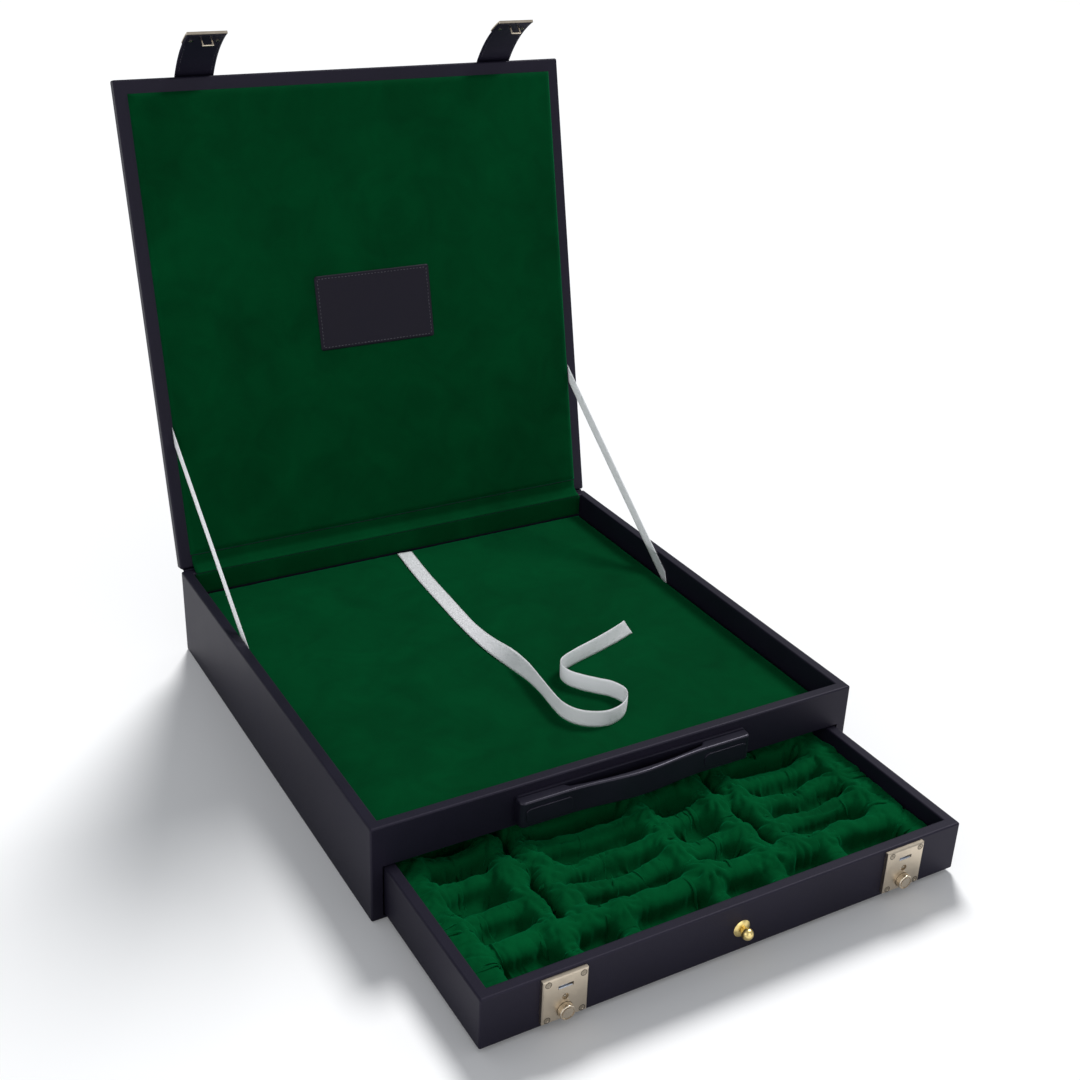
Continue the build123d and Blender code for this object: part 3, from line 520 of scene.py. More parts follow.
# ---------------------------------------------------------------- pieces
class CHESSBOX_OT_boards(bpy.types.Operator):
    """Covers the boards of the case, lid and drawer"""

    bl_idname = "chess_box.boards"
    bl_label = "Covered boards"

    def execute(self, context):
        cover = finish_of("chess_leatherette")
        case = ["case_left_side", "case_right_side", "case_back", "case_front_rail", "case_base"]
        drawer = ["drawer_front", "drawer_left_side", "drawer_right_side", "drawer_back", "drawer_bottom"]
        dress(cover, "leatherette", *case, "lid_board", *drawer)
        dress(finish_of("chess_board"), "bare_board", "tray_floor_board", "drawer_bay_board")
        return {"FINISHED"}


class CHESSBOX_OT_metalwork(bpy.types.Operator):
    """Finishes the locks, hasps, knob and screws"""

    bl_idname = "chess_box.metalwork"
    bl_label = "Metalwork"

    def execute(self, context):
        plates = ["left_lock_plate", "right_lock_plate", "left_hasp_plate", "right_hasp_plate"]
        dress(finish_of("chess_lock_metal"), "lock_metal", *plates)
        small = ["left_lock_button", "right_lock_button", "left_hasp_staple", "right_hasp_staple"]
        small += ["left_hasp_rivets", "right_hasp_rivets"]
        dress(finish_of("chess_button_metal"), "brass", *small)
        dress(finish_of("chess_brass"), "brass", "knob_rosette", "drawer_knob")
        # The screw heads take the darkened metal as painted shade.
        dress(finish_of("chess_screw_painted_shade"), "lock_metal", "lock_screws")
        inner = ["left_lock_catch", "right_lock_catch", "handle_screws", "knob_screw"]
        dress(finish_of("chess_steel"), "steel", *inner)
        self.painted_shadow_rings()
        self.tongues()
        return {"FINISHED"}

    def painted_shadow_rings(self):
        """Dark rings round the plates' screws and buttons: painted shadow where they meet the plates."""
        points, faces = [], []
        for side in ("left", "right"):
            low, high = corners_of(side + "_lock_plate")
            x, z, face = (low[0] + high[0]) / 2, (low[2] + high[2]) / 2, low[1]
            for aside in (-SCREW_ASIDE, SCREW_ASIDE):
                for up in (-SCREW_UP, SCREW_UP):
                    ring(points, faces, (x + aside, face, z + up), *SCREW_SHADOW_RING)
            ring(points, faces, (x, face, BUTTON_Z), *BUTTON_SHADOW_RING)
        painted_shadow_rings = new_piece("lock_painted_shadow_rings", points, faces, finish_of("chess_painted_shadow_finish"))
        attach(painted_shadow_rings, "drawer")

    def tongues(self):
        """The steel in the plates' slots, painted brighter than the catches as a painted glint: a lining on
        the lower edge, and the catch's face behind.
        """
        steel = finish_of("chess_steel_painted_glint")
        for side in ("left", "right"):
            low, high = corners_of(side + "_lock_plate")
            x = (low[0] + high[0]) / 2
            within = (low[1] + 0.25, high[1] - 0.1)
            lining = bevelled_bar(side + "_slot_lining", x, within, SLOT_EDGE_Z, 6.4, 0.2, steel)
            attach(lining, "drawer")
            behind = (high[1] + 0.05, high[1] + 0.35)
            face = bevelled_bar(side + "_catch_face", x, behind, CATCH_Z, 5.4, 1.5, steel)
            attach(face, side + "_catch")


def bevelled_bar(name, x, depth, z, half_width, half_height, material):
    """A flat steel bar with chamfered ends, from one depth to another."""
    chamfer = 0.08
    inner = half_width - min(0.5, half_height)
    profile = ((-half_width, 0), (-inner, 1), (inner, 1), (half_width, 0), (inner, -1), (-inner, -1))
    front, back = depth
    rings = ((front, 0.9), (front + chamfer, 1.0), (back - chamfer, 1.0), (back, 0.9))
    sides = len(profile)
    points, faces = [], []
    for y, swell in rings:
        points += [(x + a * swell, y, z + b * half_height * swell) for a, b in profile]
    for i in range(len(rings) - 1):
        for k in range(sides):
            a, b = i * sides + k, i * sides + (k + 1) % sides
            faces.append((a, b, b + sides, a + sides))
    faces += [tuple(range(sides))[::-1], tuple(range(len(points) - sides, len(points)))]
    return new_piece(name, points, faces, material)


class CHESSBOX_OT_key_pins(bpy.types.Operator):
    """Turns the little pins in the key holes"""

    bl_idname = "chess_box.key_pins"
    bl_label = "Key pins"

    def execute(self, context):
        profile = [(0.0, 0.5), (0.9, 0.5), (1.25, 0.8), (1.25, 2.5), (1.7, 2.5), (1.7, 2.59), (0.0, 2.59)]
        for side, x in zip(("left", "right"), STRAP_X):
            low, high = corners_of(side + "_lock_plate")
            points, faces = [], []
            turned(points, faces, (x, low[1], high[2] - KEY_HOLE_DOWN), profile, 24, False)
            # The pin takes the darkened metal as painted shade in the key hole.
            pin = new_piece(side + "_key_pin", points, faces, finish_of("chess_screw_painted_shade"))
            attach(pin, "drawer")
        return {"FINISHED"}


class CHESSBOX_OT_handle(bpy.types.Operator):
    """Finishes the carrying handle"""

    bl_idname = "chess_box.handle"
    bl_label = "Handle"

    def execute(self, context):
        dress(finish_of("chess_plastic"), "black_plastic", "handle_base", "handle_grip", "handle_covers")
        return {"FINISHED"}


class CHESSBOX_OT_tray(bpy.types.Operator):
    """Lays the velvet on the tray's floor and back wall"""

    bl_idname = "chess_box.tray"
    bl_label = "Tray velvet"

    def execute(self, context):
        low, high = corners_of("tray_pad")
        count, roll, drop, pucker_reach = 150, 5.0, 4.5, 14
        sides = [np.linspace(low[k], high[k], count) for k in (0, 1)]
        x, y = np.meshgrid(*sides, indexing="ij")
        inset = np.minimum(np.minimum(x - low[0], high[0] - x), np.minimum(y - low[1], high[1] - y))
        rolled = np.clip(inset / roll, 0, 1)
        top = high[2] + 0.15 - drop * (1 - np.sqrt(1 - (1 - rolled) ** 2))
        gentle = soft_noise(x / 90, y / 70, 11) * 0.35 + soft_noise(x / 28, y / 33, 12) * 0.12
        pucker = soft_noise((x + y) / 7, (x - y) / 40, 13) * 0.35 * np.exp(-inset / pucker_reach)
        z = np.minimum(top + (gentle + pucker) * rolled - 0.25, high[2] + 0.25)
        floor = low[2] + 0.2
        middle = np.stack([x, y, (z + floor) / 2], -1)
        pad = slab("tray_velvet", middle, UP, z - floor, finish_of("chess_velvet"))
        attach(pad, "case")
        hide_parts("tray_pad")
        self.back_wall()
        return {"FINISHED"}

    def back_wall(self):
        """The velvet on the tray's back wall."""
        low, high = corners_of("tray_back_velvet")
        thickness, behind = 0.7, 0.55
        sides = [np.linspace(low[0], high[0], 120), np.linspace(low[2], high[2], 12)]
        x, z = np.meshgrid(*sides, indexing="ij")
        y = high[1] - behind + 0.12 * soft_noise(x / 30, z / 20, 15)
        middle = np.stack([x, y, z], -1)
        pile = finish_of("chess_velvet")
        piece = slab("tray_wall_velvet", middle, normals_of(middle), thickness, pile)
        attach(piece, "case")
        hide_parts("tray_back_velvet")


class CHESSBOX_OT_lid_lining(bpy.types.Operator):
    """Covers the lid's inner panel in velvet"""

    bl_idname = "chess_box.lid_lining"
    bl_label = "Lid lining"

    def execute(self, context):
        half, near, far = 247.0, 16.2, 507.3
        count, roll, thickness, pucker_reach = 140, 3.2, 3.6, 10
        sides = [np.linspace(-half, half, count), np.linspace(near, far, count)]
        x, s = np.meshgrid(*sides, indexing="ij")
        inset = np.minimum(np.minimum(half - np.abs(x), s - near), far - s)
        rolled = np.clip(inset / roll, 0, 1)
        puff = thickness * np.sqrt(np.clip(1 - (1 - rolled) ** 2, 0.02, 1))
        gentle = soft_noise(x / 80, s / 95, 21) * 0.25 + soft_noise(x / 26, s / 24, 22) * 0.1
        pucker = soft_noise((x - s) / 6, (x + s) / 45, 23) * 0.25 * np.exp(-inset / pucker_reach)
        outer = 0.45
        inner = np.minimum(outer - puff + (gentle + pucker - 0.2) * rolled, outer - 0.5)
        middle = from_lid(x, s, (outer + inner) / 2)
        panel = slab("lid_velvet", middle, LID_INWARD, outer - inner, finish_of("chess_velvet"))
        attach(panel, "lid")
        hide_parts("lid_panel")
        return {"FINISHED"}


class CHESSBOX_OT_patch(bpy.types.Operator):
    """Sews the bare leather patch to the lid's lining"""

    bl_idname = "chess_box.patch"
    bl_label = "Patch"

    seam_inset = 3.4

    def execute(self, context):
        width, height, middle_s, corner = 140.0, 83.0, 262.0, 3.0
        back, thickness, round_edge = -3.55, 1.05, 1.0
        u, v = np.meshgrid(np.linspace(-1, 1, 71), np.linspace(-1, 1, 43), indexing="ij")
        x, y = self.rounded(u * width / 2, v * height / 2, width, height, corner)
        inset = np.minimum(width / 2 - np.abs(u) * width / 2, height / 2 - np.abs(v) * height / 2)
        seam = 0.16 * np.exp(-(((inset - self.seam_inset) / 0.9) ** 2))
        edge = 1 - np.clip(inset / round_edge, 0, 1)
        thick = thickness * np.sqrt(np.clip(1 - edge**2, 0.08, 1)) - seam
        middle = from_lid(x, middle_s + y, back - thick / 2)
        leather = finish_of("chess_patch_leather")
        patch = slab("lid_patch", middle, LID_INWARD, thick, leather)
        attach(patch, "lid")
        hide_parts("label_patch")
        self.stitches(width, height, middle_s, back - 0.95)
        return {"FINISHED"}

    def rounded(self, x, y, width, height, corner):
        """Pulls the corners of a grid in to a radius."""
        cx, cy = width / 2 - corner, height / 2 - corner
        over_x, over_y = np.maximum(np.abs(x) - cx, 0), np.maximum(np.abs(y) - cy, 0)
        square = np.maximum(over_x, over_y)
        round_ = np.hypot(over_x, over_y)
        share = np.where((over_x > 0) & (over_y > 0), square / np.maximum(round_, 1e-9), 1.0)
        near_x = np.sign(x) * (np.minimum(np.abs(x), cx) + over_x * share)
        near_y = np.sign(y) * (np.minimum(np.abs(y), cy) + over_y * share)
        return near_x, near_y

    def stitches(self, width, height, middle_s, height_over):
        """A running stitch round the patch, a little inside its edge."""
        length = sizes().stitch / MM
        step = length + 1.0
        inset_x, inset_y = width / 2 - self.seam_inset, height / 2 - self.seam_inset
        runs = []
        for k in range(int(2 * inset_x / step)):
            at = -inset_x + step * (k + 0.5)
            runs += [((at, -inset_y), (1, 0)), ((at, inset_y), (1, 0))]
        for k in range(int(2 * inset_y / step)):
            at = -inset_y + step * (k + 0.5)
            runs += [((-inset_x, at), (0, 1)), ((inset_x, at), (0, 1))]
        points, faces = [], []
        for (cx, cy), (dx, dy) in runs:
            capsule(points, faces, cx, middle_s + cy, dx, dy, length, 0.33, height_over)
        points = [from_lid(*point) for point in points]
        thread = new_piece("patch_stitching", points, faces, finish_of("chess_thread"))
        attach(thread, "lid")


def capsule(points, faces, cx, cy, dx, dy, length, radius, level):
    """One stitch: a short thread that dips at both ends."""
    rings, sides = 7, 6
    base = len(points)
    for i in range(rings):
        t = -1 + 2 * i / (rings - 1)
        along = t * length / 2
        size = radius * math.sqrt(max(0.03, 1 - t * t * 0.95))
        dip = 0.25 * t * t
        for k in range(sides):
            turn = 2 * math.pi * k / sides
            side, up = size * math.cos(turn), size * math.sin(turn)
            place = (cx + along * dx - side * dy, cy + along * dy + side * dx, level + dip - up * 0.7)
            points.append(place)
    for i in range(rings - 1):
        for k in range(sides):
            a, b = base + i * sides + k, base + i * sides + (k + 1) % sides
            faces.append((a, b, b + sides, a + sides))
    faces.append(tuple(base + k for k in range(sides))[::-1])
    faces.append(tuple(base + (rings - 1) * sides + k for k in range(sides)))


class CHESSBOX_OT_hinge_cloths(bpy.types.Operator):
    """Bends the velvet and the leather over the lid's hinge line"""

    bl_idname = "chess_box.hinge_cloths"
    bl_label = "Hinge cloths"

    def execute(self, context):
        inside = self.on_lid((6.5, -0.35), (15.4, -0.35))
        inside = [(248.2, 98.6), (249.7, 99.8), (253.5, 99.8)] + inside
        pile = finish_of("chess_velvet")
        self.strip("hinge_velvet_cloth", inside, 246.0, 0.7, pile, "velvet", "hinge_velvet", 0.5)
        outside = self.on_lid((0.7, 1.6), (0.7, 13.6), (1.4, 14.1), (36.0, 14.1))
        outside = [(260.4, 63.0), (260.4, 98.4)] + outside
        cover = finish_of("chess_leatherette")
        self.strip("hinge_back_leather", outside, 257.0, 0.8, cover, "leatherette", "back_hinge_leather", 0.0)
        return {"FINISHED"}

    def on_lid(self, *places):
        """Places on the lid, each a distance from the hinge and a height, as a depth and a height."""
        return [tuple(from_lid(0.0, distance, height)[1:]) for distance, height in places]

    def strip(self, name, line, half, thickness, finish, slot, node, ripple):
        """A cloth along a line of depths and heights, from one side of the box to the other."""
        spacing = 1.2
        fine = []
        for a, b in zip(line, line[1:]):
            steps = max(3, int(math.dist(a, b) / spacing))
            for k in range(steps):
                fine.append((a[0] + (b[0] - a[0]) * k / steps, a[1] + (b[1] - a[1]) * k / steps))
        fine = np.array(fine + [line[-1]])
        for _ in range(2):
            fine[1:-1] = (fine[:-2] + 2 * fine[1:-1] + fine[2:]) / 4
        x = np.linspace(-half, half, 110)
        middle = np.zeros((len(x), len(fine), 3))
        middle[..., 0] = x[:, None]
        middle[..., 1:] = fine[None]
        normal = normals_of(middle)
        wave = soft_noise(middle[..., 0] / 22, middle[..., 2] / 9, 31) * 0.12 * ripple
        middle = middle + normal * wave[..., None]
        piece = slab(name, middle, normal, thickness, finish)
        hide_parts(node)
        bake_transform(piece)


class CHESSBOX_OT_stays(bpy.types.Operator):
    """Stretches the two satin stays between the lid and the tray"""

    bl_idname = "chess_box.stays"
    bl_label = "Stay ribbons"

    def execute(self, context):
        top = from_lid(0.0, 151.0, 0.1)[1:]
        foot = np.array((50.0, TRAY_FLOOR - 2.0))
        width = sizes().stay_width / MM
        chord = top - foot
        length = float(np.hypot(*chord))
        along = chord / length
        side_way = np.array((-along[1], along[0]))
        lid_way = np.array((-math.cos(LID_OPEN), math.sin(LID_OPEN)))
        cross = along[0] * lid_way[1] - along[1] * lid_way[0]
        thickness, round_edge, aside = 0.42, 0.5, 248.1
        for side, sign in (("left", -1), ("right", 1)):
            t = np.linspace(0, 1, 80)
            across, thick = edge_taper(7, width, thickness, round_edge)
            middle = np.zeros((len(t), len(across), 3))
            for j, a in enumerate(across):
                cut_low = a * (along[0] / along[1])
                cut_high = a * (along @ lid_way) / cross
                start = foot + side_way * a + along * cut_low
                end = top + side_way * a + along * cut_high
                middle[:, j, 1:] = start + (end - start) * t[:, None]
            cup = 0.25 * np.cos(np.linspace(-1.4, 1.4, len(across)))
            swell = np.sin(math.pi * t)[:, None]
            twist = 0.35 * swell * np.linspace(-1, 1, len(across))
            middle[..., 0] = sign * (aside - cup * swell - 0.3 * np.abs(twist))
            white = finish_of("chess_satin")
            piece = slab(side + "_stay_satin", middle, normals_of(middle), thick, white)
            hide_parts(side + "_stay_ribbon")
            start, end = (0, foot[0] * MM, foot[1] * MM), (0, top[0] * MM, top[1] * MM)
            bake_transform(piece)
        return {"FINISHED"}


class CHESSBOX_OT_pull_ribbon(bpy.types.Operator):
    """Lays the loose ribbon that lifts the board"""

    bl_idname = "chess_box.pull_ribbon"
    bl_label = "Pull ribbon"

    def execute(self, context):
        route = [
            (-6.0, 243.0, 0), (-11.5, 180.0, 0), (-14.7, 114.0, 0), (-16.8, 50.0, 0),
            (-15.5, 0.0, 20), (-9.5, -45.0, 55), (-5.2, -75.0, 78), (-5.0, -102.0, 88),
            (-7.6, -130.0, 88), (-7.8, -148.0, 88), (-3.0, -163.0, 88), (7.0, -174.0, 88),
            (23.0, -181.0, 88), (40.0, -178.0, 90), (54.0, -168.0, 92), (60.5, -154.0, 94),
            (55.5, -138.0, 96), (46.0, -127.0, 96), (35.5, -114.0, 95), (28.0, -100.0, 92),
            (27.5, -85.0, 90), (36.0, -74.5, 88), (58.0, -66.0, 86), (90.0, -57.0, 82),
            (120.0, -47.5, 76), (145.0, -38.0, 70),
        ]
        width = sizes().ribbon_width / MM
        line, length = smooth_path(route, 2.2)
        ahead = np.gradient(line[:, :2], axis=0)
        ahead /= np.linalg.norm(ahead, axis=1, keepdims=True)
        tilt = np.radians(line[:, 2])
        left_hand = np.column_stack([-ahead[:, 1], ahead[:, 0], np.zeros(len(ahead))])
        across_way = left_hand * np.cos(tilt)[:, None] + UP * np.sin(tilt)[:, None]
        thickness, round_edge, above, cut_slant, cut_reach = 0.5, 0.6, 0.62, 9.0, 14.0
        across, thick = edge_taper(9, width, thickness, round_edge)
        place = np.column_stack([line[:, :2], np.full(len(line), TRAY_FLOOR + above)])
        run = np.linspace(0, length, len(line))
        middle = place[:, None] + across_way[:, None] * (across + width / 2)[None, :, None]
        curl = 0.5 * np.sin(run / 23.0)[:, None] * np.cos(across / width * math.pi)[None, :]
        flat_ahead = np.column_stack([ahead, np.zeros(len(ahead))])
        face_way = np.cross(flat_ahead, across_way)
        on_edge = tilt > 1.0
        middle = middle + face_way[:, None] * (curl * (0.25 + 0.75 * on_edge)[:, None])[..., None]
        slant = (across / width + 0.5)[None, :] * cut_slant
        tail = np.clip((run[:, None] - (length - cut_reach)) / cut_reach, 0, 1)
        middle = middle - flat_ahead[:, None] * (slant * tail)[..., None]
        white = finish_of("chess_satin")
        ribbon = slab("pull_satin", middle, normals_of(middle), thick, white)
        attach(ribbon, "case")
        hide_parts("pull_ribbon")
        return {"FINISHED"}


def ring(points, faces, centre, inner, outer, rise):
    """A thin raised ring on a face that looks along -Y."""
    sunk = 0.3
    crown = ((inner + outer) / 2, -rise * 1.3)
    profile = ((inner, sunk), (inner, -rise), crown, (outer, -rise), (outer + 0.1, sunk))
    turned(points, faces, centre, profile, 28, True)


class CHESSBOX_OT_straps(bpy.types.Operator):
    """Cuts the two leather straps on the lid's front edge"""

    bl_idname = "chess_box.straps"
    bl_label = "Straps"

    def execute(self, context):
        length, width, thickness, let_in, round_edge = 71.0, 42.0, 2.4, 3.4, 1.1
        lean, turn = math.radians(59.5), math.radians(30.0)
        start = lean - turn / 2
        radius = length / turn
        root_at = LID_NEAR + LID_DEPTH + 0.3 + thickness / 2
        root_height, seam_inset = 8.0, 4.0
        run = np.linspace(-let_in, length, 66)
        way = start + np.maximum(run, 0) / radius
        u = radius * (np.sin(way) - math.sin(start)) + np.minimum(run, 0) * math.cos(start)
        v = radius * (math.cos(start) - np.cos(way)) + np.minimum(run, 0) * math.sin(start)
        for side, x in zip(("left", "right"), STRAP_X):
            across, thick = edge_taper(25, width, thickness, round_edge)
            edge = width / 2 - np.abs(across)
            thick = thick - 0.35 * np.exp(-(((edge - seam_inset) / 0.8) ** 2))
            distance, height = root_at + u, root_height - v
            middle = from_lid(x + across[None, :], distance[:, None], height[:, None])
            normal = normals_of(middle)
            body = np.tile(thick, (len(run), 1))
            cover = finish_of("chess_leatherette")
            strap = slab(side + "_strap_leather", middle, normal, body, cover)
            root = from_lid(x, root_at, root_height) * MM
            step = 4.0
            out = from_lid(x, root_at + step * math.cos(start), root_height - step * math.sin(start)) * MM
            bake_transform(strap)
            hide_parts(side + "_strap")
            self.stitches(side, x, middle, normal, run)
        return {"FINISHED"}

    def stitches(self, side, x, middle, normal, run):
        """Rows of stitches along both edges of a strap, on both faces."""
        points, faces = [], []
        pitch, stitch, thread_radius, first, plate_reach, above = 4.2, 3.0, 0.3, 5, 28, 1.02
        columns = middle.shape[1]
        for face in (-1, 1):
            for j in (2, columns - 3):
                for k in range(int((run[-1] - plate_reach) / pitch)):
                    at = first + pitch * (k + 0.5)
                    i = int(np.searchsorted(run, at))
                    centre = middle[i, j] + normal[i, j] * face * above
                    ahead = middle[i + 1, j] - middle[i - 1, j]
                    ahead /= np.linalg.norm(ahead)
                    sideways = np.cross(ahead, normal[i, j])
                    local, local_faces = [], []
                    capsule(local, local_faces, 0, 0, 1, 0, stitch, thread_radius, 0)
                    base = len(points)
                    for a, b, c in local:
                        points.append(centre + ahead * a + sideways * b - normal[i, j] * face * c)
                    faces += [tuple(base + n for n in f) for f in local_faces]
        thread = new_piece(side + "_strap_stitching", points, faces, finish_of("chess_thread"))
        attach(thread, side + "_hasp")


# ---------------------------------------------------------------- gathered velvet
POCKETS_LEFT = -211.0
POCKETS_RIGHT = 211.0
POCKETS_FRONT = -424.0
POCKETS_RIDGE = -378.0
POCKETS_BACK = -200.6
ROWS_BACK = -203.6
FRONT_SHARES = (67, 61, 92, 62, 63, 77)
COLUMN_SHARES = (67, 30, 121, 67, 30, 107)
COLUMN_ROWS = (4, 2, 5, 4, 2, 5)


def pocket_edges(shares):
    """Where the partitions between pockets stand, from the share of each pocket."""
    steps = np.cumsum((0,) + shares) / sum(shares)
    return POCKETS_LEFT + (POCKETS_RIGHT - POCKETS_LEFT) * steps


def row_places():
    """The cross partitions: each column's number and the distance of each of its rows."""
    depth = ROWS_BACK - POCKETS_RIDGE
    places = []
    for column, rows in enumerate(COLUMN_ROWS):
        places += [(column, POCKETS_RIDGE + row * depth / rows) for row in range(1, rows)]
    return places


def partitions():
    """Every padded partition: its two ends, half width, top and how much its top sags."""
    lines = [
        ((-224.0, -427.0), (-224.0, -197.0), 15.0, 39.5, 0.0),
        ((224.0, -427.0), (224.0, -197.0), 15.0, 39.5, 0.0),
        ((-236.0, -425.0), (236.0, -425.0), 8.0, 38.0, 0.0),
        ((-236.0, -200.0), (236.0, -200.0), 9.0, 38.5, 0.0),
        ((POCKETS_LEFT, POCKETS_RIDGE), (POCKETS_RIGHT, POCKETS_RIDGE), 10.5, 39.0, 0.0),
    ]
    for x in pocket_edges(FRONT_SHARES)[1:-1]:
        lines.append(((x, POCKETS_FRONT), (x, POCKETS_RIDGE), 9.5, 38.5, 5.0))
    edges = pocket_edges(COLUMN_SHARES)
    for x in edges[1:-1]:
        lines.append(((x, POCKETS_RIDGE), (x, POCKETS_BACK), 9.5, 38.5, 0.0))
    for column, y in row_places():
        lines.append(((edges[column], y), (edges[column + 1], y), 9.0, 38.0, 4.5))
    return lines


def junctions():
    """Where partitions meet and the velvet is bunched."""
    edges = pocket_edges(COLUMN_SHARES)
    found = [(x, POCKETS_RIDGE) for x in (*pocket_edges(FRONT_SHARES)[1:-1], *edges[1:-1])]
    for column, y in row_places():
        found += [(edges[column], y), (edges[column + 1], y)]
    return found


def wander(x, y, seed):
    """Places moved a little, so that no partition is quite straight."""
    reach = 4.5
    aside = reach * soft_noise(x / 31, y / 25, seed + 1)
    ahead = reach * soft_noise(x / 27, y / 31, seed + 3)
    return x + aside, y + ahead


def on_line(line, x, y):
    """How far places lie along a partition and beside it, and the partition's length."""
    (ax, ay), (bx, by) = line[:2]
    dx, dy = bx - ax, by - ay
    length = math.hypot(dx, dy)
    along = ((x - ax) * dx + (y - ay) * dy) / length
    aside = ((x - ax) * -dy + (y - ay) * dx) / length
    return along, aside, length


def stuffing(x, y, z, floor, seed):
    """Distance to the surface of the padded partitions and floor, over a grid of places and heights."""
    round_, blend = 8.0, 7.5
    wx, wy = wander(x, y, seed)
    heights = z[None, None, :]
    total = np.exp(-2 / blend * (np.zeros(x.shape)[..., None] + heights - floor))
    for number, line in enumerate(partitions()):
        half, top, sag = line[2:]
        along, aside, length = on_line(line, wx, wy)
        apart = np.hypot(aside, np.maximum(np.maximum(-along, along - length), 0))
        share = np.clip(along / length, 0, 1)
        crest = top - sag * min(1.0, length / 60) * 4 * share * (1 - share)
        crest = crest + 2.2 * soft_noise(along / 19 + 9, number * 3.7 + 0 * along, seed + 5)
        width = half + 1.4 * soft_noise(along / 23 + 31, number * 2.9 + 0 * along, seed + 6)
        beside = (apart - (width - round_))[..., None]
        over = heights - (crest - round_)[..., None]
        distance = np.minimum(np.maximum(beside, over), 0) - round_
        distance = distance + np.hypot(np.maximum(beside, 0), np.maximum(over, 0))
        total += np.exp(-2 / blend * distance)
    return (-np.log(total) * blend / 2).astype(np.float32)


def top_of(field, heights, level):
    """The highest place where a distance field has a level, in every column of the field."""
    below = field <= level
    at = field.shape[2] - np.argmax(below[..., ::-1], axis=2)
    at = np.clip(at, 1, field.shape[2] - 1)
    rows, columns = np.indices(at.shape)
    low, high = field[rows, columns, at - 1], field[rows, columns, at]
    share = (level - low) / np.maximum(high - low, 0.001)
    return heights[at - 1] + share * (heights[1] - heights[0])


def sampled(table, u, v):
    """Values of a table between its cells."""
    i, j = np.floor(u).astype(int), np.floor(v).astype(int)
    fu, fv = u - i, v - j
    low = table[i, j] * (1 - fu) + table[i + 1, j] * fu
    return low * (1 - fv) + (table[i, j + 1] * (1 - fu) + table[i + 1, j + 1] * fu) * fv


def doubled(points):
    """A grid with a point added between every two, on a smooth curve through its neighbours."""
    for axis in (0, 1):
        points = np.swapaxes(points, 0, axis)
        ends = np.concatenate([2 * points[:1] - points[1:2], points, 2 * points[-1:] - points[-2:-1]])
        fine = np.zeros((2 * len(points) - 1,) + points.shape[1:])
        fine[::2] = points
        fine[1::2] = (9 * (ends[1:-2] + ends[2:-1]) - ends[:-3] - ends[3:]) / 16
        points = np.swapaxes(fine, 0, axis)
    return points


def eased(grid):
    """A grid with its inner values moved a little to their neighbours."""
    out = grid.copy()
    own = 4 * grid[1:-1, 1:-1]
    out[1:-1, 1:-1] = (own + grid[:-2, 1:-1] + grid[2:, 1:-1] + grid[1:-1, :-2] + grid[1:-1, 2:]) / 8
    return out


def lowered_blades(points, reach=3, rise=3.0):
    """A grid in which no narrow fold stands far over the places on both sides of it."""
    height = points[..., 2].copy()
    for _ in range(2):
        for z in (height, height.T):
            beside = np.maximum(z[: -2 * reach], z[2 * reach :])
            z[reach:-reach] = np.minimum(z[reach:-reach], beside + rise)
    return np.dstack([points[..., :2], height])


